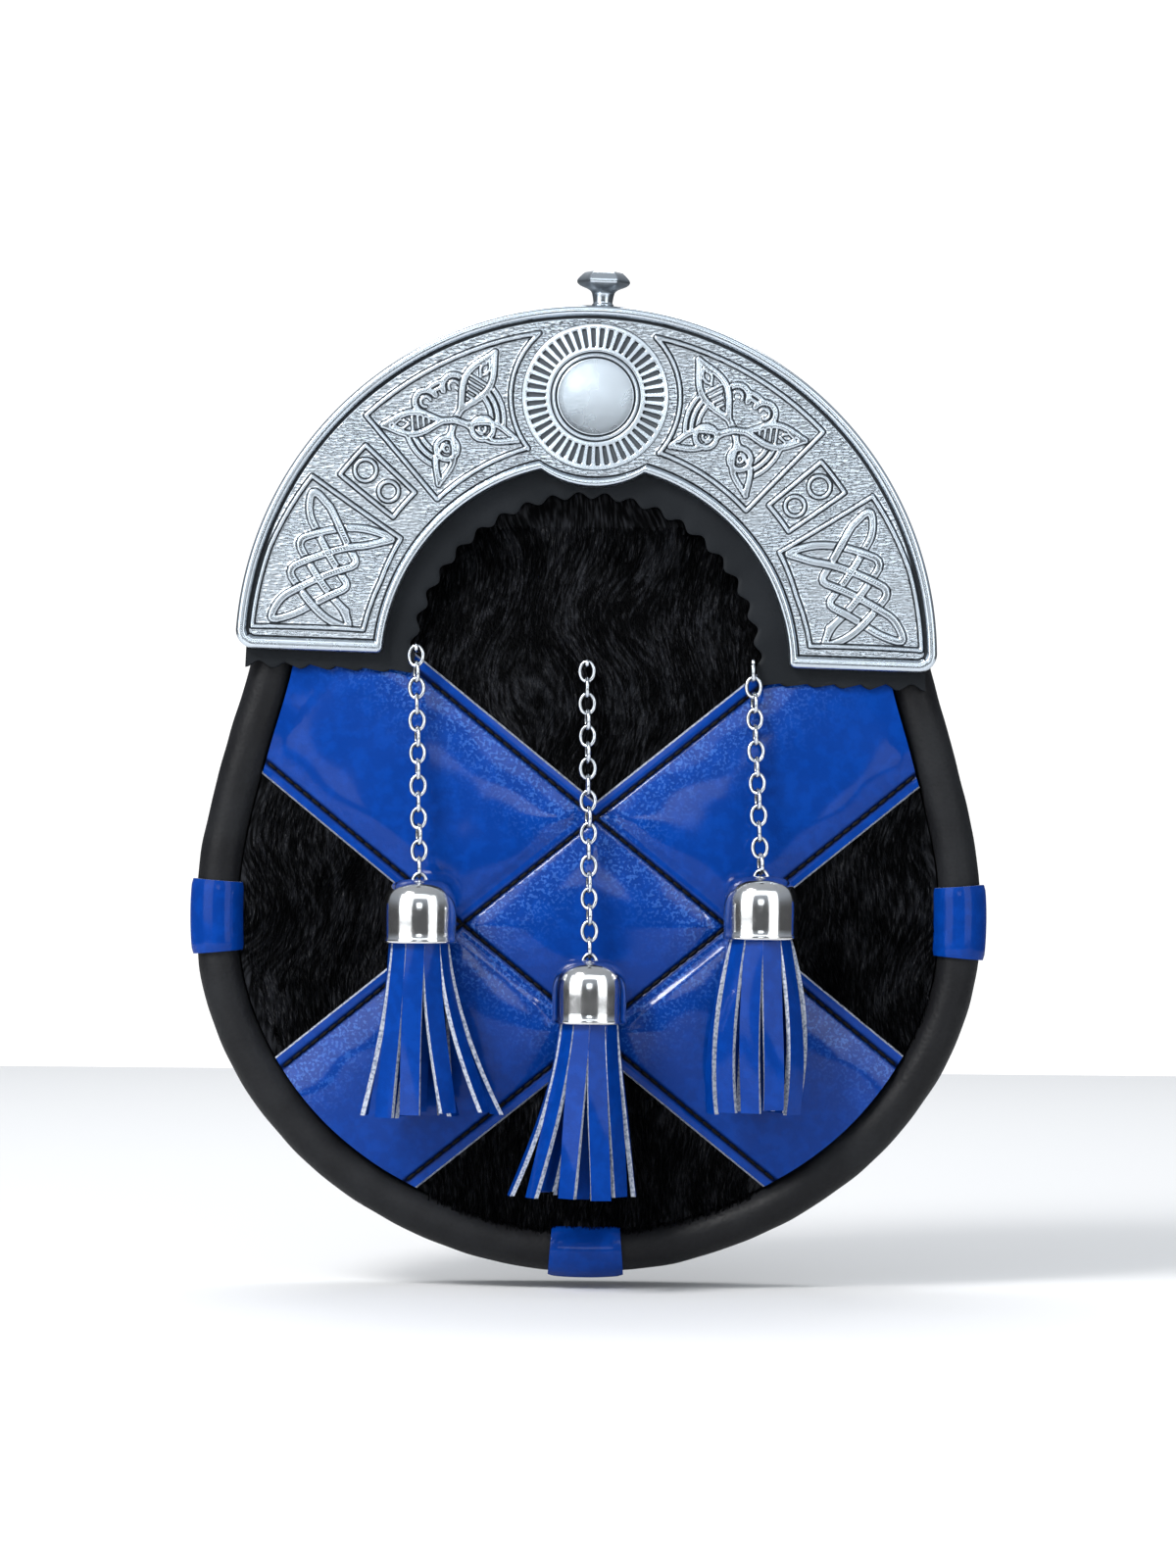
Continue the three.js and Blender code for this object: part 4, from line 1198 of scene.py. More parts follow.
@dataclass
class CantleRelief:
    """Heights of the cantle's relief over its ground, worked out on one half and mirrored."""

    centre_z: float = CANTLE_Z
    frame_half_width: float = 0.52
    frame_height: float = 0.7
    ring_half_width: float = 0.45
    ring_height: float = 0.55
    band_height: float = 0.62
    band_half_width: float = 0.94
    thin_half_width: float = 0.36
    weave: float = 0.16
    gap: float = 0.36
    outer_frame: tuple = (
        (82.8, 58.7), (84.4, 73), (84.6, 86.9), (56.6, 85.3), (55.2, 72), (55.4, 59.6)
    )  # radius and angle from the top of each corner, as in the ring frame
    ring_frame: tuple = ((77, 48.3), (77.2, 55.6), (60, 56.3), (59.8, 48.3))
    rings: tuple = ((72.8, 51.9, 2.75), (64.9, 52.2, 2.5))  # radius, angle and size
    plait_columns: int = 4
    plait_rows: int = 8
    knot_radius: float = 68.2
    knot_deg: float = 31.2
    roundel_reach: float = 65.5
    roundel_clear: float = 21.4

    def polar(self, radius: Array | float, degrees: Array | float) -> Array:
        """Gives x and z of a place at a radius and an angle from the top."""
        angle = np.radians(degrees)
        return np.stack([radius * np.sin(angle), self.centre_z + radius * np.cos(angle)], axis=-1)

    def ring_line(self, rows: Sequence[tuple[float, float]], steps: int = 12) -> Array:
        """Draws a closed line whose sides run along arcs and radii of the cantle.

        Args:
            rows: the radius and the angle from the top of each corner.
            steps: points along each side.

        Returns:
            The line.
        """
        table = np.array([*rows, rows[0]])
        t = np.linspace(0, 1, steps, endpoint=False)[:, None]
        spans = [a + (b - a) * t for a, b in zip(table[:-1], table[1:])]
        path = np.vstack([*spans, table[:1]])
        return self.polar(path[:, 0], path[:, 1])

    def shoulder_frame(self) -> Array:
        """Draws the upper panel's frame, which is hollowed round the roundel.

        Returns:
            The frame's line.
        """
        radii = np.linspace(54.4, 82.4, 16)
        reach, clear = self.roundel_reach, self.roundel_clear
        cosines = (radii**2 + reach**2 - clear**2) / (2 * radii * reach)
        hollow = np.stack([radii, np.degrees(np.arccos(np.clip(cosines, -1, 1)))], axis=-1)
        top = [(82.4, deg) for deg in np.linspace(hollow[-1, 1], 44.5, 12)[1:]]
        bottom = [(54.6, deg) for deg in np.linspace(45.6, hollow[0, 1], 10)]
        path = np.vstack([hollow, top, bottom])
        return self.polar(path[:, 0], path[:, 1])

    def plait_place(self, across: Array, down: Array) -> Array:
        """Maps the plait's own grid into the lower panel.

        Args:
            across: places across the grid, from the arch outwards.
            down: places down the grid.

        Returns:
            x and z of each place.
        """
        u, v = down / self.plait_rows, across / self.plait_columns
        corner = np.abs(2 * u - 1) ** 4
        inner = 61.3 + 1.2 * u - (3.5 - 1.5 * u) * corner
        outer = 78.8 - 0.4 * u + 1.6 * corner
        return self.polar((1 - v) * inner + v * outer, 61.8 + 22.4 * u)

    def _strand(self, x: int, y: int, dx: int, dy: int) -> list[tuple[float, float, float]]:
        """Follows one strand of the plait round until it closes.

        Args:
            x: the column line that it starts on.
            y: the row line that it starts on.
            dx: its first step across.
            dy: its first step down.

        Returns:
            Its turns and crossings in the plait's own grid, with the strand's level at each.
        """
        columns, rows = self.plait_columns, self.plait_rows
        start, path = (x, y, dx, dy), []
        while True:
            crossing = 0 < x < columns and 0 < y < rows
            over = 1.0 if (x % 2 == 1) == (dx * dy > 0) else -1.0
            path.append((float(x), float(y), over if crossing else 0.0))
            next_x, next_y = x + dx, y + dy
            if not crossing and (next_x in (0, columns) or next_y in (0, rows)):
                tip_x = 0.0 if min(x, next_x) == 0 else columns
                tip_y = -0.55 if min(y, next_y) == 0 else rows + 0.55
                path.append((tip_x, tip_y, 0.0))
            x, y = next_x, next_y
            dx = -dx if x in (0, columns) else dx
            dy = -dy if y in (0, rows) else dy
            if (x, y, dx, dy) == start:
                return path

    def plait(self) -> list[Band]:
        """Draws the lower panel's plait, whose strands turn back at its sides and its ends.

        Returns:
            A band for each strand.
        """
        columns, rows = self.plait_columns, self.plait_rows
        fresh = [(x, 0, 1, 1) for x in range(1, columns, 2)]
        fresh += [(0, y, 1, 1) for y in range(1, rows, 2)]
        bands: list[Band] = []
        met: set[tuple[float, float, float]] = set()
        for x, y, dx, dy in fresh:
            path = self._strand(x, y, dx, dy)
            if path[1] in met:
                continue
            met.update(point for point in path if point[2])
            line = rounded(np.array([*path, path[0]]), 2)
            bands.append(Band(self.plait_place(line[:, 0], line[:, 1]), self.band_half_width, line[:, 2]))
        return bands

    def knot_place(self, turn: Array | float, reach: Array | float) -> Array:
        """Gives a place in the upper panel.

        Args:
            turn: its angle from the knot's own upright, in degrees.
            reach: its distance from the knot's middle.

        Returns:
            x and z of the place.
        """
        middle = self.polar(self.knot_radius, self.knot_deg)
        angle = np.radians(self.knot_deg + np.asarray(turn, dtype=float))
        return middle + np.stack([reach * np.sin(angle), reach * np.cos(angle)], axis=-1)

    def leaf(
        self, turn: float, start: float, tip: float, width: float, half_width: float, level: float
    ) -> Band:
        """Draws a pointed oval that stands away from the knot's middle.

        Args:
            turn: the way it points, in degrees from the knot's own upright.
            start: how far from the middle it starts.
            tip: how far from the middle its tip is.
            width: how far its sides bulge.
            half_width: half the width of its band.
            level: how high it lies.

        Returns:
            The band.
        """
        t = np.linspace(0, 1, 17)
        side = width * np.sin(math.pi * t) ** 1.25
        along = start + (tip - start) * t
        both = np.concatenate([side, -side[-2::-1]])
        reach = np.concatenate([along, along[-2::-1]])
        line = self.knot_place(turn + np.degrees(np.arctan2(both, reach)), np.hypot(both, reach))
        return Band(line, half_width, level + 0.8 * np.sin(np.linspace(0, 4 * math.pi, len(line))))

    def arc(
        self, middle: Array, radius: float, start: float, end: float, half_width: float, level: float
    ) -> Band:
        """Draws an arc about a place.

        Args:
            middle: the place.
            radius: the arc's radius.
            start: where it starts, in degrees from the knot's own upright.
            end: where it ends.
            half_width: half the width of its band.
            level: how high it lies.

        Returns:
            The band.
        """
        angle = np.radians(self.knot_deg + np.linspace(start, end, 18))
        line = middle + radius * np.stack([np.sin(angle), np.cos(angle)], axis=-1)
        return Band(line, half_width, np.full(len(line), level))

    def _knot_side(self, side: int, turn: float, tip: float, width: float) -> list[Band]:
        """Draws one side of the upper panel's knot.

        Args:
            side: -1 for the side towards the roundel, and 1 for the other.
            turn: the way its large leaf points.
            tip: how far the leaf reaches.
            width: how far the leaf's sides bulge.

        Returns:
            Its bands: a laddered leaf, a lobe, a petal through a ring, arcs and an arm.
        """
        centre = self.knot_place(0, 0)
        thin, lobe_turn, petal_turn = self.thin_half_width, side * 31, side * 137
        bands = [self.leaf(turn, 3.0, tip, width, 0.85, 0.2)]
        bands.append(self.leaf(turn, 0.64 * tip, tip - 2.6, 1.1, thin, -0.2))
        for share in (0.36, 0.44, 0.52, 0.6):
            ends = [self.knot_place(turn + slant * 10, share * tip) for slant in (-1, 1)]
            bands.append(Band(np.array(ends), thin, np.array([-0.4, -0.4])))
        lobe = self.knot_place(side * 28, 8.6)
        bands.append(self.arc(lobe, 2.9, lobe_turn - 115, lobe_turn + 115, 0.75, -0.3))
        bands.append(self.arc(lobe, 1.3, lobe_turn - 130, lobe_turn + 130, thin, -0.4))
        bands.append(self.leaf(petal_turn, 3.0, 16.7, 2.2, 0.75, 0.1))
        ring = self.knot_place(side * 136, 7.4)
        bands.append(self.arc(ring, 2.75, 0, 360, 0.7, 0.6))
        bands.append(self.arc(ring, 0.9, 0, 360, thin, -0.2))
        for radius in (9.3, 10.9, 12.5):
            bands.append(self.arc(centre, radius, side * 80, side * 124, 0.6, -0.5))
        arm = [self.knot_place(turn, 4.0), centre, self.knot_place(-petal_turn, 4.0)]
        bands.append(Band(np.array(arm), 0.85, np.array([0.0, float(side), 0.0])))
        return bands

    def leafed_cross(self) -> list[Band]:
        """Draws the upper panel's knot of two large leaves, two small ones, rings and arcs.

        Returns:
            Its bands.
        """
        bands = self._knot_side(-1, -60, 20.0, 3.3) + self._knot_side(1, 65, 18.0, 2.8)
        for radius, reach in ((9.0, 10), (10.5, 12)):
            bands.append(self.arc(self.knot_place(0, 0), radius, -reach, reach, 0.5, -0.4))
        return bands

    def paint(self, place: Array, height: Array, outline_shade: Array, bands: Sequence[Band]) -> None:
        """Raises bands out of the ground, each over or under the others as its level says.

        Args:
            place: x and z of each grid point.
            height: the heights, which are changed.
            outline_shade: how dark each point is, which is changed.
            bands: the bands.
        """
        shown = np.full(len(place), -FAR)
        strokes = [(level, a, b, band.half_width) for band in bands for a, b, level in band.pieces()]
        for level, start, end, half in sorted(strokes, key=lambda stroke: stroke[0]):
            reach = half + self.gap
            low, high = np.minimum(start, end) - reach, np.maximum(start, end) + reach
            near = np.flatnonzero(np.all((place >= low) & (place <= high), axis=1))
            if not len(near):
                continue
            distance = line_distance(place[near], start, end)
            on, beside = distance < half, (distance >= half) & (distance < reach)
            lower = beside & (shown[near] < level - 0.9)
            cut = near[lower]
            height[cut] = np.minimum(height[cut], 0.02)
            # Painted shade: the ground beside a band that passes over a lower one is darkened.
            outline_shade[cut] = np.maximum(outline_shade[cut], 1 - (distance[lower] - half) / self.gap)
            t = distance[on] / half
            crown = self.band_height * np.sqrt(np.maximum(0, 1 - t**4))
            # Painted shade darkens each band's edges and the groove down its middle.
            dark = np.clip((t - 0.8) / 0.2, 0, 1) * 0.8
            if half > 0.65:
                groove = np.exp(-((distance[on] / (0.2 * half)) ** 2))
                crown = crown - 0.26 * groove
                dark = np.maximum(dark, 0.55 * groove)
            raised = crown + self.weave * level
            spot = near[on]
            same = np.abs(shown[spot] - level) < 0.9
            outline_shade[spot] = np.where(same, np.where(raised > height[spot], dark, outline_shade[spot]), dark)
            height[spot] = np.where(same, np.maximum(height[spot], raised), raised)
            shown[spot] = level

    def ridges(
        self,
        place: Array,
        height: Array,
        outline_shade: Array,
        lines: Sequence[Array],
        half_width: float,
        top: float,
    ) -> None:
        """Raises plain round ridges along lines.

        Args:
            place: x and z of each grid point.
            height: the heights, which are changed.
            outline_shade: how dark each point is, which is changed.
            lines: the ridges' middle lines.
            half_width: half the width of a ridge.
            top: its height.
        """
        reach = half_width + self.gap
        for line in lines:
            low, high = line.min(0) - reach, line.max(0) + reach
            near = np.flatnonzero(np.all((place >= low) & (place <= high), axis=1))
            distance = np.full(len(near), FAR)
            for start, end in zip(line[:-1], line[1:]):
                distance = np.minimum(distance, line_distance(place[near], start, end))
            crown = top * np.sqrt(np.maximum(0, 1 - (distance / half_width) ** 2.4))
            # Painted shade: the ground just beside each ridge is darkened.
            dark = np.clip(1 - np.abs(distance - half_width - 0.1) / self.gap, 0, 1)
            raised = (crown > height[near]) & (distance < half_width)
            outline_shade[near] = np.where(raised, dark * 0.8, np.maximum(outline_shade[near], dark))
            height[near] = np.maximum(height[near], crown)

    def heights(self, x: Array, z: Array) -> tuple[Array, Array]:
        """Gives the relief's height over each place of the right half.

        Args:
            x: across.
            z: up.

        Returns:
            The heights over the ground, and the painted shade that darkens the metal along their outlines.
        """
        place = np.stack([x.ravel(), z.ravel()], axis=-1)
        height, outline_shade = np.zeros(len(place)), np.zeros(len(place))
        self.paint(place, height, outline_shade, self.plait())
        self.paint(place, height, outline_shade, self.leafed_cross())
        frames = [self.ring_line(self.outer_frame), self.ring_line(self.ring_frame), self.shoulder_frame()]
        self.ridges(place, height, outline_shade, frames, self.frame_half_width, self.frame_height)
        for radius, degrees, size in self.rings:
            angle = np.linspace(0, 2 * math.pi, 25)
            ring = self.polar(radius, degrees) + size * np.stack([np.cos(angle), np.sin(angle)], axis=-1)
            self.ridges(place, height, outline_shade, [ring], self.ring_half_width, self.ring_height)
        return height.reshape(x.shape), outline_shade.reshape(x.shape)


KNOB_PROFILE = (
    (0, 0),
    (2.75, 0),
    (2.8, 0.4),
    (2.45, 0.7),
    (2.5, 1.3),
    (2.7, 2.6),
    (3.0, 3.6),
    (3.9, 4.3),
    (5.5, 4.9),
    (6.4, 5.7),
    (6.5, 6.5),
    (5.6, 7.6),
    (4.3, 8.8),
    (0, 8.9),
)


@dataclass
class Cantle:
    """The cast arch over the pouch's top, with its roundel and knob."""

    finishes: Finishes
    radius: float = 88.6
    arch_radius: float = 51.4
    arch_z: float = -46.3
    foot_z: float = -44.3
    roundel_z: float = 22.3
    roundel_radius: float = 18.7
    roundel_slots: int = 46
    swell_radius: float = 22.8
    back_y: float = -38.6
    ground_y: float = -41.1
    border_height: float = 1.25
    outer_border: float = 2.6
    foot_border: float = 3.1
    inner_border: float = 2.3
    wall: float = 1.3
    wall_back_y: float = -27.0
    outer_corner: float = 5.0
    inner_corner: float = 1.6
    columns: int = 600
    rows: int = 158
    relief: CantleRelief = field(default_factory=CantleRelief)

    def _inner_reach(self, degrees: Array) -> Array:
        """Gives how far from the centre the metal starts.

        Args:
            degrees: directions, as angles from the top.

        Returns:
            The distance in each direction.
        """
        angle = np.radians(degrees)
        drop = CANTLE_Z - self.arch_z
        arch = -drop * np.cos(angle) + np.sqrt(self.arch_radius**2 - (drop * np.sin(angle)) ** 2)
        rise = self.roundel_z - CANTLE_Z
        under = self.swell_radius**2 - (rise * np.sin(angle)) ** 2
        swell = rise * np.cos(angle) - np.sqrt(np.maximum(under, 0))
        return np.where((under > 0) & (np.abs(degrees) < 60), np.minimum(arch, swell), arch)

    def _round_corner(self, a: Array, b: Array, radius: float) -> tuple[Array, Array]:
        """Moves places near a square corner so that its outline turns with a radius.

        Args:
            a: distances from one side of the corner.
            b: distances from the other side.
            radius: the corner's radius.

        Returns:
            The new distances.
        """
        inside = (a < radius) & (b < radius)
        pa, pb = radius - a, radius - b
        scale = np.maximum(pa, pb) / np.maximum(np.hypot(pa, pb), 1e-9)
        return np.where(inside, radius - pa * scale, a), np.where(inside, radius - pb * scale, b)

    def _face_grid(self) -> tuple[Array, Array, Array, Array]:
        """Lays the right half of the face's grid out.

        Returns:
            x and z of each grid point, how far in from the border's edge it is, where 1 is the
            border's inner side, and how deep in the groove beside the border it is.
        """
        side = np.concatenate([np.linspace(0, 0.955, self.columns - 40)[:-1], np.linspace(0.955, 1, 41)])
        depth = np.concatenate([np.linspace(0, 0.105, 22), np.linspace(0.105, 0.91, self.rows - 42)[1:-1]])
        depth = np.concatenate([depth, np.linspace(0.91, 1, 22)])
        foot_drop = self.foot_z - CANTLE_Z
        outer_deg = np.degrees(np.arccos(foot_drop / self.radius))
        inner = self._inner_reach(side * outer_deg)
        radius = self.radius - depth[:, None] * (self.radius - inner[None, :])
        limit = np.degrees(np.arccos(foot_drop / radius))
        degrees = side[None, :] * limit
        b = self.radius - radius
        c = radius - inner[None, :]
        a = np.radians(limit - degrees) * radius
        edge = np.minimum(np.minimum(b / self.outer_border, a / self.foot_border), c / self.inner_border)
        broad = 0.85 * np.exp(-(((b - self.outer_border - 0.45) / 0.42) ** 2))
        sides = ((a, self.foot_border), (c, self.inner_border))
        fine = [np.exp(-(((d - w - 0.25) / 0.2) ** 2)) for d, w in sides]
        groove = np.where(edge >= 1, np.maximum(broad, np.maximum(*fine)), 0)
        a1, b1 = self._round_corner(a, b, self.outer_corner)
        a2, c2 = self._round_corner(a, c, self.inner_corner)
        new_radius = radius - (b1 - b) + (c2 - c)
        new_degrees = np.where(side[None, :] == 0, 0, limit - np.degrees((a1 + a2 - a) / radius))
        place = self.relief.polar(new_radius, new_degrees)
        return place[..., 0], place[..., 1], edge, groove

    def _border(self, edge: Array, groove: Array, height: Array, outline_shade: Array) -> tuple[Array, Array]:
        """Adds the rounded border and the groove inside it, with painted shade in the groove, to the relief.

        Args:
            edge: how far in each place is, where 1 is the border's inner side.
            groove: how deep in the groove each place is.
            height: the relief's heights.
            outline_shade: how dark each place is.

        Returns:
            The new heights and darkness.
        """
        round_top = self.border_height * np.maximum(0, 1 - np.abs(2 * edge - 1) ** 2.6) ** 0.5
        inside = height - 0.3 * groove
        # Painted shade darkens the border's inner edge and the groove beside it.
        dark = np.where(edge < 1, np.clip((edge - 0.95) / 0.05, 0, 1) * 0.7, np.maximum(outline_shade, groove))
        return np.where(edge < 1, round_top, inside), dark

    def _blur(self, values: Array, reach: int) -> Array:
        """Averages a grid over its neighbours, rows first and then columns.

        Args:
            values: the grid.
            reach: how many neighbours count on each side.

        Returns:
            The averaged grid.
        """
        for axis in (0, 1):
            width = [(reach, reach) if axis == k else (0, 0) for k in (0, 1)]
            total = np.cumsum(np.pad(values, width, mode="edge"), axis=axis)
            total = np.insert(total, 0, 0, axis=axis)
            size = 2 * reach + 1
            ahead = np.take(total, range(size, total.shape[axis]), axis)
            behind = np.take(total, range(0, total.shape[axis] - size), axis)
            values = (ahead - behind) / size
        return values

    def face(self) -> None:
        """Builds the face in two alike halves, with its relief, down to a flat back."""
        x, z, edge, groove = self._face_grid()
        raw, outline_shade = self._border(edge, groove, *self.relief.heights(x, z))
        under = np.hypot(x, z - self.roundel_z) < self.roundel_radius - 0.4
        raw, outline_shade = np.where(under, -0.7, raw), np.where(under, 0.6, outline_shade)
        height = raw * 0.7 + self._blur(raw, 1) * 0.3
        # Painted shade: the cavity share darkens places that lie lower than their neighbours, as ambient
        # shade would.
        cavity = np.clip((self._blur(raw, 4) - raw) / 0.5, 0, 1)
        ground = self._blur(((np.abs(raw) < 0.05) & (outline_shade < 0.3) & (edge > 1)).astype(float), 1)
        # The painted shade along outlines and in cavities is stored for the metal's shader.
        painted_shading = np.clip(outline_shade + 0.35 * cavity, 0, 1)
        rows, cols = x.shape
        top, bottom = np.arange(cols), (rows - 1) * cols + np.arange(cols)
        left, right = np.arange(rows) * cols, np.arange(rows) * cols + cols - 1
        loop = np.concatenate([top[:-1], right[:-1], bottom[:0:-1], left[:0:-1]])
        low = rows * cols + np.arange(len(loop))
        skirt = np.stack([loop, low, np.roll(low, -1), np.roll(loop, -1)], axis=-1)
        quads = np.vstack([grid_quads(rows, cols), skirt])
        for name, sign in (("left", -1), ("right", 1)):
            front = turn_head(xyz(sign * x, self.ground_y - height, z)).reshape(-1, 3)
            rim = front[loop].copy()
            rim[:, 1] = self.back_y
            faces = [*quads.tolist(), low[::-1].tolist()]
            if sign < 0:
                faces = [face[::-1] for face in faces]
            mesh = bpy.data.meshes.new(f"cantle_face_{name}")
            mesh.from_pydata((np.vstack([front, rim]) * MM).tolist(), [], faces)
            for key, values in (("painted_shading", painted_shading), ("ground", ground)):
                store(mesh, key, np.concatenate([values.ravel(), np.zeros(len(rim))]))
            mesh.materials.append(self.finishes.cast)
            mesh.shade_smooth()
            mesh.set_sharp_from_angle(angle=math.radians(75))
            settle(link_object(f"cantle_face_{name}", mesh), Slot.CAST, "cantle")

    def side_wall(self) -> bpy.types.Object:
        """Builds the wall that laps back over the pouch's top.

        Returns:
            The piece.
        """
        half_deg = math.degrees(math.acos((self.foot_z + self.outer_corner - CANTLE_Z) / self.radius))
        degrees = np.linspace(-half_deg, half_deg, 220)
        outer, inner = self.radius, self.radius - self.wall
        line = [
            (outer - 0.5, self.ground_y + 0.4),
            (outer - 0.02, self.ground_y + 0.9),
            (outer, -36.0),
            (outer, self.wall_back_y + 0.7),
            (outer - 0.6, self.wall_back_y),
            (inner + 0.5, self.wall_back_y),
            (inner, self.wall_back_y + 0.6),
            (inner, -38.0),
            (inner, self.ground_y + 0.6),
            (outer - 0.5, self.ground_y + 0.4),
        ]
        section = rounded(line, 1)[:-1]
        place = self.relief.polar(section[:, 0][None, :], degrees[:, None])
        sections = turn_head(stand(place, section[:, 1]))
        piece = add_piece("cantle_wall", tube(sections, False), [self.finishes.cast])
        return settle(piece, Slot.CAST, "cantle")

    def roundel(self, per_slot: int = 10) -> bpy.types.Object:
        """Builds the roundel: a plain polished disc in a ring of narrow slots.

        Args:
            per_slot: points round each slot and the rib beside it.

        Returns:
            The piece.
        """
        disc_edge, disc_line, ring_line, rim = 9.4, 9.85, 11.25, self.roundel_radius
        slot_start, slot_end = 12.5, 17.4
        radii = np.concatenate([np.linspace(0, disc_edge, 8)[:-1], np.linspace(disc_edge, rim, 56)])
        count = self.roundel_slots * per_slot
        phase = (np.arange(count) / per_slot) % 1.0
        angle = np.arange(count) / count * 2 * math.pi
        r = radii[:, None]
        ends = np.minimum(r - slot_start, slot_end - r) / 0.35
        slot = np.clip(ends, 0, 1) * np.clip((0.29 - np.abs(phase - 0.5)) / 0.08, 0, 1)[None, :]
        disc = np.where(r < 9.8, 0.8 + 0.3 * (1 - (r / 9.8) ** 2), 0.45)
        bevel = 0.35 * np.exp(-(((r - 10.5) / 0.42) ** 2)) + np.where(r > 11.3, 0.2, 0.0)
        lines = np.exp(-(((r - disc_line) / 0.16) ** 2)) + 0.85 * np.exp(-(((r - ring_line) / 0.2) ** 2))
        height = (disc + bevel - 0.3 * lines) - 0.75 * slot
        height = np.where(r > 18.45, height - (r - 18.45) * 4.2, height)
        x, up = r * np.sin(angle), r * np.cos(angle)
        points = xyz(x, self.ground_y - height, self.roundel_z + up)
        back = points.copy()
        back[..., 1] = self.ground_y + 0.6
        form = shell(turn_head(points), turn_head(back), around=True)
        piece = add_piece("cantle_roundel", form, [self.finishes.cast], merge=False, sharp_deg=70)
        # Painted shade: a soft dark patch on the disc's lower left, a dark outer edge, and darkened slots and
        # incised lines.
        shaded = np.exp(-(((x + 5.2) ** 2 + (up + 6.6) ** 2) / 9.0)) * (r < disc_edge)
        outline = 0.75 * np.clip((r - 18.3) / 0.3, 0, 1)
        painted_shading = slot * 0.6 + 2.2 * slot * (1 - slot) + lines + outline + 0.35 * shaded
        store(piece.data, "painted_shading", np.concatenate([np.clip(painted_shading, 0, 1).ravel(), np.zeros(painted_shading.size)]))
        return settle(piece, Slot.CAST, "cantle")

    def knob(self, x: float = 1.0) -> bpy.types.Object:
        """Builds the turned knob on the cantle's top, with painted shade on its underside and painted dark
        reflections on the facets that face away from the front.

        Args:
            x: how far right of the middle it stands.

        Returns:
            The piece.
        """
        form = turned(rounded(KNOB_PROFILE, 1), 48)
        angle = np.arctan2(form.points[:, 1], form.points[:, 0]) + math.pi / 2
        sixth = math.pi / 3
        flat = math.cos(sixth / 2) / np.cos((angle + sixth / 2) % sixth - sixth / 2)
        share = np.clip((form.points[:, 2] - 4.4) / 0.8, 0, 1)
        form.points[:, :2] *= (1 + (flat * 1.04 - 1) * share)[:, None]
        # Painted shade and reflection: the underside and the facets turned away from the front are darkened.
        off_front = np.abs((angle + math.pi) % (2 * math.pi) - math.pi)
        up, reach = form.points[:, 2], np.hypot(form.points[:, 0], form.points[:, 1])
        beneath = (reach > 2.9) & (up < 5.8)
        beside = off_front > np.where(up > 4, 0.56, 0.85)
        painted_shading = np.where(beneath, 0.52, np.where(beside, 0.46, 0.0))
        form.points += (x, (self.wall_back_y + self.ground_y - 1.2) / 2, CANTLE_Z + self.radius + 0.3)
        form.points = turn_head(form.points)
        piece = add_piece("top_knob_turned", form, [self.finishes.cast], merge=False)
        store(piece.data, "painted_shading", painted_shading)
        return settle(piece, Slot.BRIGHT, "top_knob")

    def build(self) -> None:
        """Builds the cantle's pieces."""
        self.face()
        self.side_wall()
        self.roundel()
        self.knob()


# The front's leather


@dataclass
class Facing:
    """The black leather under the cantle, with its pinked edge."""

    finishes: Finishes
    back_y: float = -36.9
    front_y: float = -38.3
    arch_z: float = -46.3
    inner_radius: float = 43.9
    outer_radius: float = 85.9
    foot_z: float = -48.1
    foot_half_width: float = 86.0
    tooth: float = 0.85
    arch_teeth: int = 20
    foot_teeth: int = 6

    def build(self) -> bpy.types.Object:
        """Builds the facing as a strip from its pinked edge to the cantle's rim.

        Returns:
            The piece.
        """
        t = np.linspace(0, 1, 60)
        foot_x = self.foot_half_width + (self.inner_radius - self.foot_half_width) * t
        foot_edge = self.foot_z - self.tooth * np.cos(2 * math.pi * self.foot_teeth * t)
        right = np.stack([foot_x, foot_edge], axis=-1)
        u = np.linspace(0, 1, 12 * self.arch_teeth + 1)
        angle = np.radians(88 - 176 * u)
        reach = self.inner_radius - self.tooth * np.cos(2 * math.pi * self.arch_teeth * u)
        arch = np.stack([reach * np.sin(angle), self.arch_z + reach * np.cos(angle)], axis=-1)
        left = np.stack([-foot_x[::-1], foot_edge[::-1]], axis=-1)
        inner = np.vstack([right, arch[1:-1], left])
        away = np.degrees(np.arctan2(inner[:, 0], inner[:, 1] - CANTLE_Z))
        away = np.clip(away, -90, 90)
        far = self.outer_radius * np.stack([np.sin(np.radians(away)), np.cos(np.radians(away))], -1)
        outer = far + (0, CANTLE_Z)
        shares = np.array([0, 0.012, 0.03, 0.12, 0.3, 0.6, 1.0])[:, None, None]
        place = inner[None] + (outer - inner)[None] * shares
        droop = np.array([0.35, 0.1, 0, 0, 0, 0, 0])[:, None]
        ripple = 0.12 * np.sin(place[..., 0] * 0.23 + place[..., 1] * 0.31)
        front = stand(place, self.front_y + droop + ripple)
        back = stand(place, self.back_y)
        form = shell(turn_head(front), turn_head(back))
        piece = add_piece("pinked_facing_leather", form, [self.finishes.facing])
        return settle(piece, Slot.FACING, "pinked_facing")


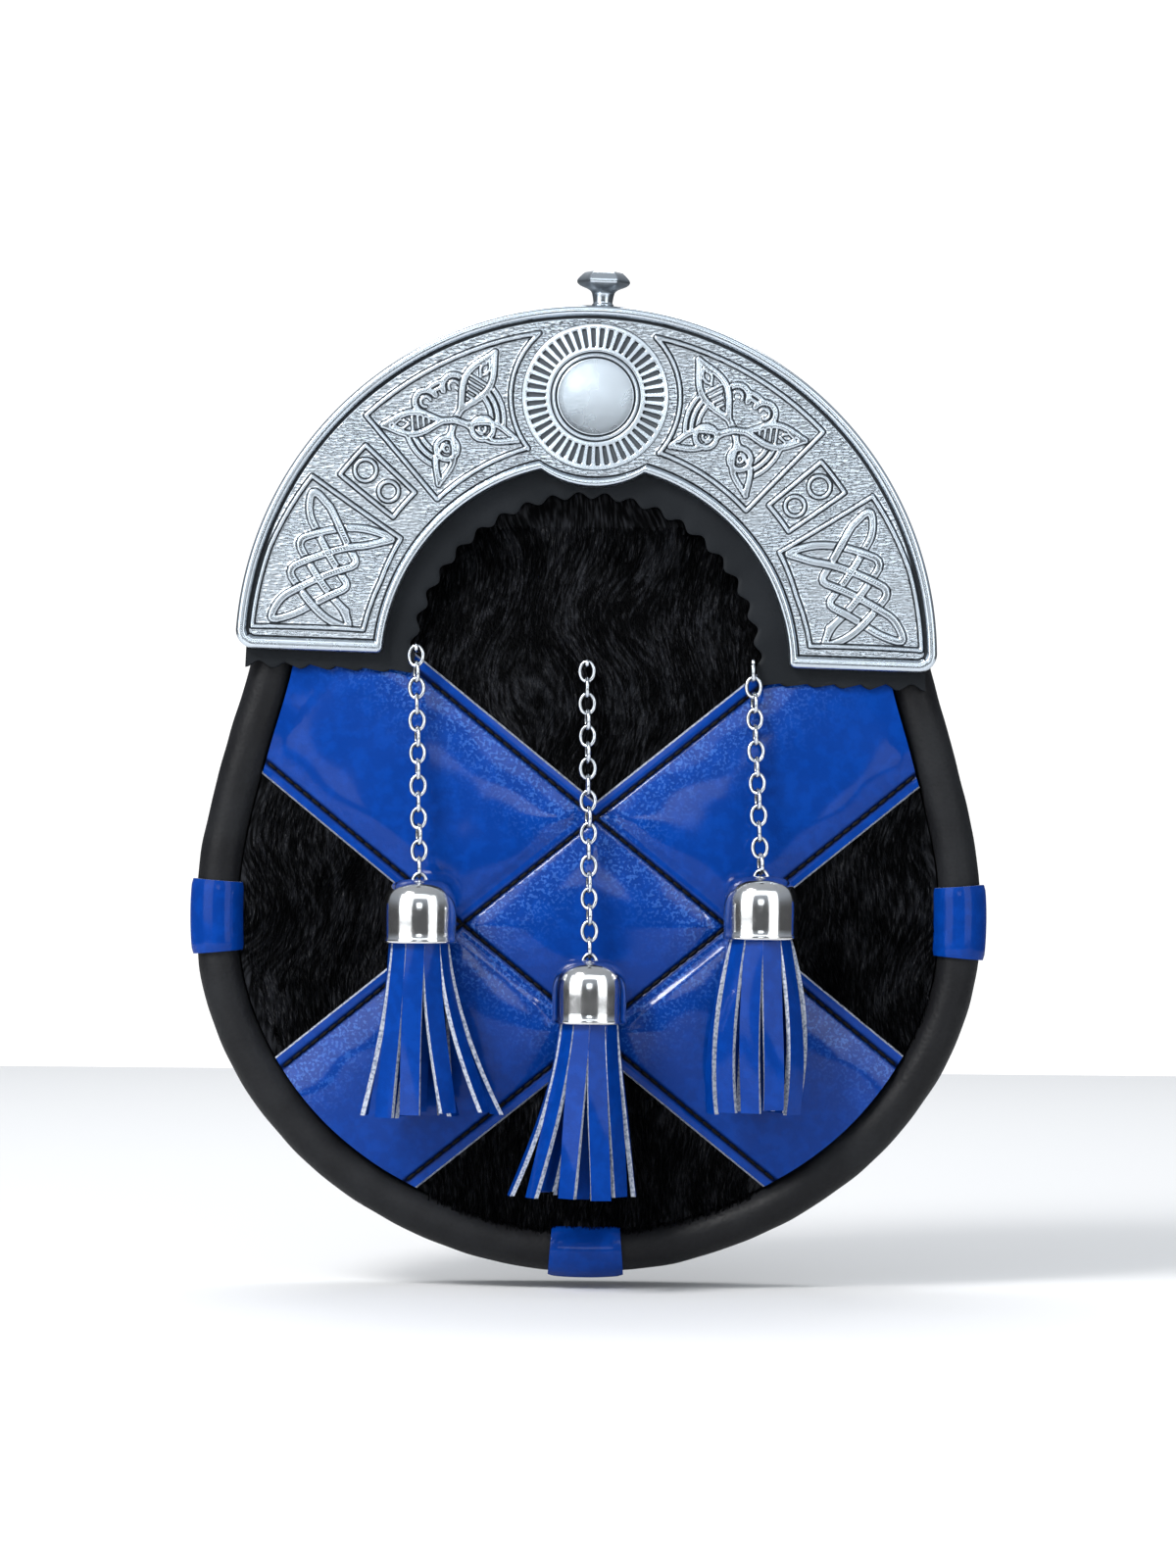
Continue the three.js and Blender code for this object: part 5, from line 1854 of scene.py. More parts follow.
@dataclass
class HidePanel:
    """The hair-on hide front: the skin, and four patches of hair where it shows."""

    finishes: Finishes
    cross: QuiltedCross
    thickness: float = 3.0
    edge: float = 11.0
    facing_reach: float = 46.0
    arch_z: float = -46.3
    facing_foot_z: float = -49.0
    cell: float = 1.6

    def skin(self) -> bpy.types.Object:
        """Builds the domed hide.

        Returns:
            The piece.
        """
        rim = OUTLINE.inset(self.edge, 160)
        centre = np.array([0.0, STUFFED.centre_z])
        shares = np.linspace(0, 1, 26)[:, None, None]
        place = centre + (rim - centre)[None] * shares
        front = stand(place, STUFFED.y(place[..., 0], place[..., 1]) + 0.05)
        back = front.copy()
        back[..., 1] += self.thickness - 0.05
        form = shell(front, back, around=True)
        return settle(add_piece("hide_skin", form, [self.finishes.skin]), Slot.HIDE, "hide_panel")

    def _patch(self, name: str, sign_rising: int, sign_falling: int) -> bpy.types.Object | None:
        """Lays out the bare patch of hide in one corner of the cross.

        Args:
            name: the patch's name.
            sign_rising: which side of the rising band it is on.
            sign_falling: which side of the falling band it is on.

        Returns:
            The patch.
        """
        half = 100
        steps = int(2 * half / self.cell)
        axis = np.linspace(-half, half, steps)
        x, z = np.meshgrid(axis, axis - 110, indexing="ij")
        rising, falling = self.cross.across(x, z)
        limit = self.cross.half_band - 0.6
        inside = (rising * sign_rising > limit) & (falling * sign_falling > limit)
        rim = OUTLINE.inset(self.edge + 0.8, 240)
        rim_up, up = rim[:, 1] - STUFFED.centre_z, z - STUFFED.centre_z
        angle = np.arctan2(rim[:, 0], rim_up)
        order = np.argsort(angle)
        reach = np.hypot(rim[:, 0], rim_up)[order]
        own = np.interp(np.arctan2(x, up), angle[order], reach, period=2 * math.pi)
        inside &= np.hypot(x, up) < own
        under_arch = np.hypot(x, z - self.arch_z) < self.facing_reach
        inside &= under_arch | (z < self.facing_foot_z)
        keep = inside[:-1, :-1] & inside[1:, :-1] & inside[:-1, 1:] & inside[1:, 1:]
        quads = grid_quads(*x.shape)[keep.ravel()]
        points = xyz(x, STUFFED.y(x, z), z).reshape(-1, 3)
        used, index = np.unique(quads, return_inverse=True)
        form = Form(points[used], index.reshape(-1, 4), np.zeros(len(quads), dtype=int))
        return add_piece(name, form, [self.finishes.hair], merge=False)

    def hair(self) -> None:
        """Grows the hair of the four patches."""
        tree = hair_tree()
        corners = (("top", 1, 1), ("bottom", -1, -1), ("left", 1, -1), ("right", -1, 1))
        density = 3.4e6
        for seed, (name, rising, falling) in enumerate(corners, 3):
            base = self._patch(f"hide_hair_{name}", rising, falling)
            values = {"Seed": seed, "Material": self.finishes.hair, "Density": density}
            settle(grow(f"hide_hair_{name}", base, tree, values), Slot.HIDE)

    def build(self) -> None:
        """Builds the skin and its hair."""
        self.skin()
        self.hair()


@dataclass
class QuiltedCross:
    """The diagonal cross of patent leather, quilted by seams along its bands."""

    finishes: Finishes
    x: float = 1.6
    z: float = -111.0
    slope_deg: float = 39.0
    half_band: float = 23.7
    seam_inset: float = 2.7
    thickness: float = 1.4
    lift: float = 0.3
    padding: float = 1.9
    stitch_top_z: float = -50.5
    edge: float = 11.0
    step: float = 0.9

    @property
    def seam(self) -> float:
        """How far the seams lie from a band's middle line."""
        return self.half_band - self.seam_inset

    def across(self, x: Array, z: Array) -> tuple[Array, Array]:
        """Gives the distances from the middle lines of the rising and the falling band."""
        angle = math.radians(self.slope_deg)
        dx, dz = x - self.x, z - self.z
        return dz * math.cos(angle) - dx * math.sin(angle), dz * math.cos(angle) + dx * math.sin(angle)

    def place(self, rising: Array, falling: Array) -> Array:
        """Gives x and z from the distances from both bands' middle lines."""
        angle = math.radians(self.slope_deg)
        x = self.x + (falling - rising) / (2 * math.sin(angle))
        z = self.z + (falling + rising) / (2 * math.cos(angle))
        return np.stack([x, z], axis=-1)

    def height(self, rising: Array, falling: Array) -> Array:
        """Gives the padding's height over the flat leather.

        Args:
            rising: distance from the rising band's middle line.
            falling: distance from the falling band's middle line.

        Returns:
            The height, which is low along the seams.
        """
        da, db = self._seam_gaps(rising, falling)
        nearest = np.minimum(np.abs(da), np.abs(db))
        pad = ((da > 0) & ((db > 0) | (np.abs(falling) > self.half_band))) | (
            (db > 0) & (np.abs(rising) > self.half_band)
        )
        swell = self.padding * (1 - np.exp(-((nearest / 5.6) ** 1.4)))
        pucker = 0.1 * np.exp(-nearest / 3.0) * np.sin(2.1 * (rising + falling) + 1.7 * np.sin(0.31 * rising))
        slow = 0.16 * np.sin(0.21 * rising + 0.13 * falling + 0.6) * np.sin(0.17 * falling - 0.08 * rising)
        groove = -0.5 * np.exp(-((nearest / 0.6) ** 2))
        return np.where(pad, swell + pucker + slow, 0.0) + groove

    def _seam_gaps(self, rising: Array, falling: Array) -> tuple[Array, Array]:
        """Gives how far inside the seams of each band a place is.

        Args:
            rising: distance from the rising band's middle line.
            falling: distance from the falling band's middle line.

        Returns:
            The two distances, negative outside the seams.
        """
        seam = self.seam
        return seam - np.abs(rising), seam - np.abs(falling)

    def crinkle(self, rising: Array, falling: Array) -> Array:
        """Tells how crinkled the leather is, most so under the seam above each pad; the leather's shader also
        paints a pale highlight there.

        Args:
            rising: distance from the rising band's middle line.
            falling: distance from the falling band's middle line.

        Returns:
            The share, from 0 to 1.
        """
        seam = self.seam
        depth = [
            np.where(d > seam, FAR, np.where(d > -seam, seam - d, -seam - d)) for d in (rising, falling)
        ]
        outside = (np.abs(rising) > seam) & (np.abs(falling) > seam)
        return np.where(outside, 0.0, np.exp(-((np.minimum(*depth) / 10.0) ** 2)))

    def _reach(self, across: Array, sign: int, on_rising: bool) -> Array:
        """Finds how far out each line along an arm runs before the edge roll covers it."""
        rim = OUTLINE.inset(self.edge, 720)
        rising, falling = self.across(rim[:, 0], rim[:, 1])
        fixed, free = (rising, falling) if on_rising else (falling, rising)
        keep = free * sign > self.half_band - 4
        order = np.argsort(fixed[keep])
        return sign * np.interp(across, fixed[keep][order], (free * sign)[keep][order])

    def _sheet(self, front_offset: float, cut_flare: float, padded: bool) -> list[Array]:
        """Lays out the grids of the middle and the four arms.

        Args:
            front_offset: how far the sheet stands off the hide.
            cut_flare: how far its cut edges reach past the band's sides.
            padded: whether the padding raises it.

        Returns:
            A grid of points for each part.
        """
        seam = self.seam
        inner = np.linspace(0, seam - 1.2, int(seam / self.step))
        near = np.array([seam - 0.9, seam - 0.6, seam - 0.3, seam, seam + 0.3, seam + 0.6, seam + 1.0])
        half = np.concatenate([inner, near, np.linspace(seam + 1.5, self.half_band, 3)])
        lines = np.concatenate([-half[:0:-1], half])
        flare = 1 + cut_flare / self.half_band
        grids = [np.meshgrid(lines, lines, indexing="ij")]
        for on_rising in (True, False):
            for sign in (-1, 1):
                reach = self._reach(lines, sign, on_rising)
                t = np.linspace(0, 1, 64)[None, :]
                free = sign * self.half_band + (reach[:, None] - sign * self.half_band) * t
                fixed = np.broadcast_to(lines[:, None], free.shape)
                grids.append((fixed, free) if on_rising else (free, fixed))
        made = []
        for rising, falling in grids:
            place = self.place(rising, falling)
            if cut_flare:
                limit = self.half_band - 1e-6
                out_rising = np.where(np.abs(np.abs(rising) - self.half_band) < 1e-6, flare, 1.0)
                out_falling = np.where(np.abs(np.abs(falling) - self.half_band) < 1e-6, flare, 1.0)
                place = self.place(
                    rising * np.where(np.abs(falling) > limit, out_rising, 1.0),
                    falling * np.where(np.abs(rising) > limit, out_falling, 1.0),
                )
            raised = self.height(rising, falling) if padded else 0.0
            made.append(stand(place, STUFFED.y(place[..., 0], place[..., 1]) - front_offset - raised))
        return made

    def leather(self) -> bpy.types.Object:
        """Builds the cross as one closed sheet.

        Returns:
            The piece.
        """
        fronts = self._sheet(self.lift + self.thickness, 0.0, True)
        backs = self._sheet(self.lift, 0.45, False)
        whole, *others = [shell(front, back) for front, back in zip(fronts, backs)]
        for other in others:
            whole = whole.joined(other)
        form, materials = self._without_inner_walls(whole), [self.finishes.patent, self.finishes.cut]
        piece = add_piece("quilted_cross", form, materials, {EDGE: 1}, sharp_deg=55)
        place = np.empty(len(piece.data.vertices) * 3, dtype=np.float32)
        piece.data.vertices.foreach_get("co", place)
        x, _, z = place.reshape(-1, 3).T / MM
        rising, falling = self.across(x, z)
        gaps = np.minimum(*np.abs(self._seam_gaps(rising, falling)))
        store(piece.data, "crinkle", self.crinkle(rising, falling))
        # The seam share also paints shade into each seam's groove, through the cross's material.
        store(piece.data, "seam", np.exp(-((gaps / 0.85) ** 4)))
        return settle(piece, Slot.CROSS, "diagonal_cross")

    def _without_inner_walls(self, form: Form) -> Form:
        """Drops the walls where two grids meet, so that the sheet is one."""
        centres = np.round(form.points[form.quads].mean(axis=1), 3)
        walls = form.kinds == EDGE
        _, index, counts = np.unique(centres, axis=0, return_inverse=True, return_counts=True)
        double = (counts[index.ravel()] > 1) & walls
        return Form(form.points, form.quads[~double], form.kinds[~double])

    def stitches(self, tree: bpy.types.NodeTree) -> bpy.types.Object:
        """Sews black stitches along the seams.

        Args:
            tree: the nodes that lay stitches along lines.

        Returns:
            The piece.
        """
        seam = self.seam
        lines: list[Array] = []
        for on_rising in (True, False):
            for side in (-1, 1):
                at = np.array([side * seam])
                ends = [self._reach(at, sign, on_rising)[0] - sign * 2.0 for sign in (-1, 1)]
                free = np.linspace(ends[0], ends[1], 140)
                fixed = np.full_like(free, side * seam)
                rising, falling = (fixed, free) if on_rising else (free, fixed)
                place = self.place(rising, falling)
                lift = self.lift + self.thickness + self.height(rising, falling) + 0.22
                line = stand(place, STUFFED.y(place[:, 0], place[:, 1]) - lift)
                lines.append(line[line[:, 2] < self.stitch_top_z])
        base = line_object("cross_stitches", lines)
        sizes = {"Pitch": 2.9 * MM, "Length": 3.4 * MM, "Thickness": 0.95 * MM}
        values = {"Material": self.finishes.thread, **sizes}
        return settle(grow("cross_stitches", base, tree, values), Slot.FACING)


def line_object(name: str, lines: Sequence[Array]) -> bpy.types.Object:
    """Makes an object of bare lines, for a tree to work along.

    Args:
        name: the object's name.
        lines: the lines' points, in millimetres.

    Returns:
        The object.
    """
    mesh = bpy.data.meshes.new(name)
    starts = np.cumsum([0, *(len(line) for line in lines)])
    edges = [(int(s) + i, int(s) + i + 1) for s, line in zip(starts, lines) for i in range(len(line) - 1)]
    mesh.from_pydata((np.vstack(lines) * MM).tolist(), edges, [])
    return link_object(name, mesh)


@dataclass
class EdgeRoll:
    """The fat leather roll round the front, and the blue keepers wrapped round it."""

    finishes: Finishes
    y: float = -31.2
    radius: float = 5.4
    clearance: float = 0.3
    keeper_thickness: float = 1.1
    keeper_length: float = 19.0
    keepers: tuple = (("left", -97.0, -109.6), ("right", 97.0, -109.6), ("bottom", 0.0, -195.0))

    def _sections(self, shares: Array, radius: Array, count: int) -> Array:
        """Places round sections across the roll."""
        points, inward = OUTLINE.at(shares)
        middle = points + inward * self.radius
        angle = circle(count)
        reach = radius[:, None] * np.cos(angle)
        place = middle[:, None, :] + inward[:, None, :] * reach[..., None]
        depth = self.y + radius[:, None] * np.sin(angle)
        return stand(place, depth)

    def roll(self) -> bpy.types.Object:
        """Builds the roll, a little uneven as a stuffed one is."""
        shares = np.arange(420) / 420
        angle = 2 * math.pi * shares
        uneven = 0.05 * np.sin(23 * angle) + 0.04 * np.sin(41 * angle + 1.1) + 0.03 * np.sin(67 * angle)
        form = tube(self._sections(shares, self.radius + uneven - 0.06, 24), True)
        return settle(add_piece("edge_roll_leather", form, [self.finishes.roll]), Slot.ROLL, "edge_roll")

    def keeper(self, name: str, x: float, z: float) -> bpy.types.Object:
        """Builds one keeper as a sleeve with cut edges.

        Args:
            name: the keeper's name.
            x: where it sits on the roll.
            z: how high it sits.

        Returns:
            The piece.
        """
        middle = OUTLINE.share_near(x, z)
        half = self.keeper_length / 2 / OUTLINE.length
        shares = middle + np.linspace(-half, half, 15)
        t = np.linspace(-1, 1, 15)
        shape = 0.12 * (1 - t**2) - 0.3 * np.abs(t) ** 14
        outer = self.radius + self.clearance + self.keeper_thickness + shape
        inner = np.full(15, self.radius + self.clearance - 0.1)
        form = shell(self._sections(shares, outer, 40), self._sections(shares, inner, 40), around=True)
        piece = add_piece(
            f"keeper_{name}_sleeve", form, [self.finishes.patent, self.finishes.cut], {EDGE: 1}
        )
        return settle(piece, Slot.CROSS, f"keeper_{name}")

    def build(self) -> None:
        """Builds the roll and its keepers."""
        self.roll()
        for name, x, z in self.keepers:
            self.keeper(name, x, z)


# Chains and tassels


@dataclass(frozen=True)
class Strip:
    """How one leather strip hangs, as in the solids."""

    angle: float
    right: float
    front: float
    bow: float


STRIPS = {
    "left": (
        Strip(190, -6.5, 0.5, 0.3),
        Strip(226, -3.4, 2.2, 0.2),
        Strip(262, -0.9, 2.6, 0.2),
        Strip(298, 4.4, 2.0, 0),
        Strip(334, 10.8, 1.2, -0.4),
        Strip(10, 13.4, -1.4, -0.4),
        Strip(55, 3.2, -2.2, 0),
        Strip(100, 0.4, -2.2, 0),
        Strip(145, -3.2, -1.8, 0),
    ),
    "middle": (
        Strip(186, -12.4, 0.2, 0),
        Strip(220, -8.8, 1.4, 0.2),
        Strip(252, -3.2, 2.8, 0.2),
        Strip(288, 1, 2.8, 0.2),
        Strip(322, 2.6, 1.8, 0.2),
        Strip(0, 5.0, -0.6, 0.3),
        Strip(48, 1.6, -2.2, 0),
        Strip(92, -1.4, -2.2, 0),
        Strip(136, -7.4, -1.8, 0),
    ),
    "right": (
        Strip(184, -4.8, 0.2, 3.2),
        Strip(220, -2.8, 1, 2.6),
        Strip(254, -0.6, 1.8, 1.6),
        Strip(290, 0.8, 1.8, 1.6),
        Strip(326, 2.4, 0.8, 2.4),
        Strip(4, 2.8, -0.4, 3.4),
        Strip(50, 0.6, -1.8, 1.4),
        Strip(94, -0.4, -1.6, 1.2),
        Strip(138, -1.6, -1.2, 1.4),
    ),
}


@dataclass
class Tassel:
    """One tassel: its chain, its bell and its leather strips."""

    finishes: Finishes
    side: str
    staple: tuple[float, float]
    bell: tuple[float, float]
    links: int
    on_facing: bool = False
    wire: float = 1.05
    half_length: float = 2.53
    half_width: float = 1.83
    pitch: float = 4.13
    staple_reach: float = 3.1
    bell_radius: float = 9.4
    bell_height: float = 16.0
    bell_wall: float = 0.8
    hole: float = 2.9
    bar_depth: float = 2.2
    bar_radius: float = 0.6
    strip_width: float = 5.0
    strip_thickness: float = 1.2
    strip_length: float = 43.5
    head_radius: float = 7.3

    def __post_init__(self) -> None:
        """Works out where the bell hangs, as the solids do."""
        touch_z = self.bell[1] - self.bell_height * 0.75
        surface = STUFFED.y(self.bell[0], touch_z) - 0.3 - 1.4 - 1.0
        self.axis_y = float(surface - 0.3 - self.bell_radius)
        self.top = np.array([self.bell[0], self.axis_y, self.bell[1]])

    def _link_form(self) -> bpy.types.Object:
        """Makes one link, an oval ring of round wire.

        Returns:
            The link, which is copied to each place.
        """
        turn = circle(22)
        middle = xyz(self.half_width * np.cos(turn), 0.0, self.half_length * np.sin(turn))
        ahead = unit(np.roll(middle, -1, axis=0) - np.roll(middle, 1, axis=0))
        side = np.array([0.0, 1.0, 0.0])
        out = np.cross(ahead, side)
        angle = circle(8)[None, :, None]
        radius = self.wire / 2
        ring = middle[:, None] + radius * (np.cos(angle) * out[:, None] + np.sin(angle) * side)
        link = add_piece("link_form", tube(ring, True), [self.finishes.chain], sharp_deg=None, merge=False)
        # Painted shade: the side of the wire that faces the link's middle is darkened.
        inner = np.clip(-np.sum((ring - middle[:, None]) * middle[:, None], axis=-1) / radius - 0.6, 0, 1)
        store(link.data, "painted_shading", inner)
        return link

    def chain(self, tree: bpy.types.NodeTree) -> bpy.types.Object:
        """Builds the chain, link through link, from its eye to the bar in the bell.

        Args:
            tree: the nodes that place the links.

        Returns:
            The piece.
        """
        x, z = self.staple
        base = (-38.3 if self.on_facing else float(STUFFED.y(x, z))) - 0.6
        top = Vector((x, base - 0.3 - self.staple_reach, z))
        last = self.bar_depth - self.half_length + self.wire / 2 + self.bar_radius + 0.3
        bottom = Vector((self.bell[0], self.axis_y, self.bell[1] - last))
        down = (bottom - top).normalized()
        first = bottom - down * self.pitch * (self.links - 1)
        right = Vector((0, -1, 0)).cross(down).normalized()
        turns = []
        for i in range(self.links):
            roll = 0.2 if i % 2 == (self.links - 1) % 2 else math.pi / 2 - 0.15
            roll += 0.12 * math.sin(1.9 * i + self.links)
            across = right.copy()
            across.rotate(Matrix.Rotation(roll, 3, down))
            axes = Matrix((across, down.cross(across), down)).transposed()
            turns.append(tuple(axes.to_euler()))
        name = f"chain_{self.side}_points"
        mesh = bpy.data.meshes.new(name)
        centres = [first + down * self.pitch * i for i in range(self.links)]
        mesh.from_pydata([tuple(centre * MM) for centre in centres], [], [])
        stored = mesh.attributes.new("turn", "FLOAT_VECTOR", "POINT")
        stored.data.foreach_set("vector", np.array(turns, dtype=np.float32).ravel())
        link = self._link_form()
        values = {"Link": link, "Material": self.finishes.chain}
        piece = grow(f"chain_{self.side}_links", link_object(name, mesh), tree, values)
        bpy.data.objects.remove(link, do_unlink=True)
        self._eye(first, base - 0.3)
        return settle(piece, Slot.CHAIN, f"chain_{self.side}")

    def _eye(self, first: Vector, base: float) -> None:
        """Builds the small wire eye that the top link hangs from.

        Args:
            first: the top link's centre.
            base: how far forward the eye's ends start.
        """
        hold = first + Vector((0, 0, self.half_length - self.wire / 2))
        z = float(hold.z) + 0.1
        y = float(first.y)
        upper = ((base, 0.8), (y + 1.2, 0.95), (y - 0.9, 0.75), (y - 1.25, 0))
        lower = ((y - 0.9, -0.75), (y + 1.2, -0.9), (base, -0.8))
        path = rounded([(hold.x, depth, z + up) for depth, up in (*upper, *lower)], 2)
        piece = add_piece(f"chain_{self.side}_eye", wire_form(path, 0.45, 8), [self.finishes.chain])
        settle(piece, Slot.CHAIN)

    def bell_piece(self) -> bpy.types.Object:
        """Builds the hollow bell with its rolled lip and its bar.

        Returns:
            The piece.
        """
        half, high, wall = self.bell_radius, self.bell_height, self.bell_wall
        inner = half - wall
        outside = [
            (half - wall * 0.5, -high),
            (half + 0.02, -high + 0.15),
            (half + 0.1, -high + 0.7),
            (half - 0.02, -high + 1.2),
            (half - 0.18, -high + 1.6),
            (half - 0.1, -high * 0.6),
            (half - 0.1, -high * 0.44),
            (half * 0.965, -high * 0.32),
            (half * 0.9, -high * 0.2),
            (half * 0.78, -high * 0.105),
            (half * 0.6, -high * 0.035),
            (self.hole + 0.5, -0.05),
            (self.hole, -0.25),
        ]
        inside = [
            (self.hole, -wall),
            (inner * 0.6, -high * 0.035 - wall),
            (inner * 0.9, -high * 0.2 - wall * 0.6),
            (inner, -high * 0.42),
            (inner, -high + 0.2),
        ]
        form = turned(np.vstack([rounded(outside, 1), inside]), 72, closed=True)
        angle = circle(12)
        length = np.linspace(-half * 0.8, half * 0.8, 5)[:, None]
        across, up = self.bar_radius * np.cos(angle), self.bar_radius * np.sin(angle)
        bar = xyz(across, length, up - self.bar_depth)
        form = form.joined(tube(bar, False))
        form.points = form.points + self.top
        piece = add_piece(f"bell_{self.side}_turned", form, [self.finishes.bright])
        return settle(piece, Slot.BRIGHT, f"bell_{self.side}")

    def _strip_form(self, row: Strip, number: int, inner: bool) -> Form:
        """Builds one strip, a cut ribbon that hangs with its own small curl.

        Args:
            row: how it hangs.
            number: its number, which gives its curl.
            inner: whether it hangs inside the ring of the others.

        Returns:
            The strip.
        """
        chance = np.random.default_rng(101 + 17 * number + len(self.side))
        angle = math.radians(row.angle)
        out = np.array([math.cos(angle), math.sin(angle), 0.0])
        side = np.array([-out[1], out[0], 0.0])
        start_radius = self.head_radius - (3.4 if inner else 0) - self.strip_thickness / 2
        start = out * start_radius
        share = np.linspace(0, 1, 16)
        spread = share * (0.4 + 0.6 * share)
        length = self.strip_length + 2 + chance.uniform(-1.6, 0.3)
        curl = chance.uniform(-0.35, 0.35)
        middle = start + out * (row.bow * 4 * share * (1 - share))[:, None]
        sway = row.right * spread + 0.25 * np.sin(5 * share + number)
        middle = middle + xyz(sway, -row.front * spread, -self.bell_height + 2 - length * share)
        twist = curl * share**1.6 + 0.05 * np.sin(6 * share + number)
        across = np.cos(twist)[:, None] * side + np.sin(twist)[:, None] * out
        normal = np.cos(twist)[:, None] * out - np.sin(twist)[:, None] * side
        width = np.where(share < 0.04, 0.86, 1.0) * self.strip_width / 2
        cup = np.array([0.18, 0.05, 0.0, 0.05, 0.18])
        at = np.linspace(-1, 1, 5)
        grid = middle[:, None] + across[:, None] * (at[None, :] * width[:, None])[..., None]
        half = self.strip_thickness / 2
        front = grid + normal[:, None] * (half - cup[None, :, None] * 0.5)
        back = grid - normal[:, None] * (half + cup[None, :, None] * 0.3)
        return shell(front, back)

    def strips(self) -> bpy.types.Object:
        """Builds the strips and the rolled head that holds them in the bell.

        Returns:
            The piece.
        """
        head = [
            (0, -self.bell_height + 0.4),
            (self.head_radius - 0.9, -self.bell_height + 0.4),
            (self.head_radius - 0.9, -self.bell_height * 0.42),
            (self.head_radius - 1.8, -5.0),
            (0, -5.0),
        ]
        whole = turned(head, 24)
        rows = STRIPS[self.side]
        for number, row in enumerate(rows):
            whole = whole.joined(self._strip_form(row, number, False))
        for number, row in enumerate(rows[::2]):
            inner = Strip(row.angle + 17, row.right * 0.55, row.front * 0.4, row.bow * 0.4)
            whole = whole.joined(self._strip_form(inner, number + 30, True))
        whole.points = whole.points + self.top
        materials = [self.finishes.patent, self.finishes.cut]
        piece = add_piece(f"tassel_{self.side}_strips", whole, materials, {EDGE: 1}, sharp_deg=50)
        return settle(piece, Slot.TASSEL, f"tassel_{self.side}")

    def build(self, tree: bpy.types.NodeTree) -> None:
        """Builds the chain, the bell and the strips."""
        self.chain(tree)
        self.bell_piece()
        self.strips()


def wire_form(path: Array, radius: float, count: int) -> Form:
    """Makes round wire along an open line.

    Args:
        path: the wire's middle line.
        radius: its radius.
        count: points round it.

    Returns:
        The form, with capped ends.
    """
    ahead = unit(np.gradient(path, axis=0))
    side = unit(np.cross(ahead, [1.0, 0.0, 0.0]))
    other = np.cross(ahead, side)
    angle = circle(count)[None, :, None]
    ring = np.cos(angle) * side[:, None] + np.sin(angle) * other[:, None]
    return tube(path[:, None] + radius * ring, False)


# The back


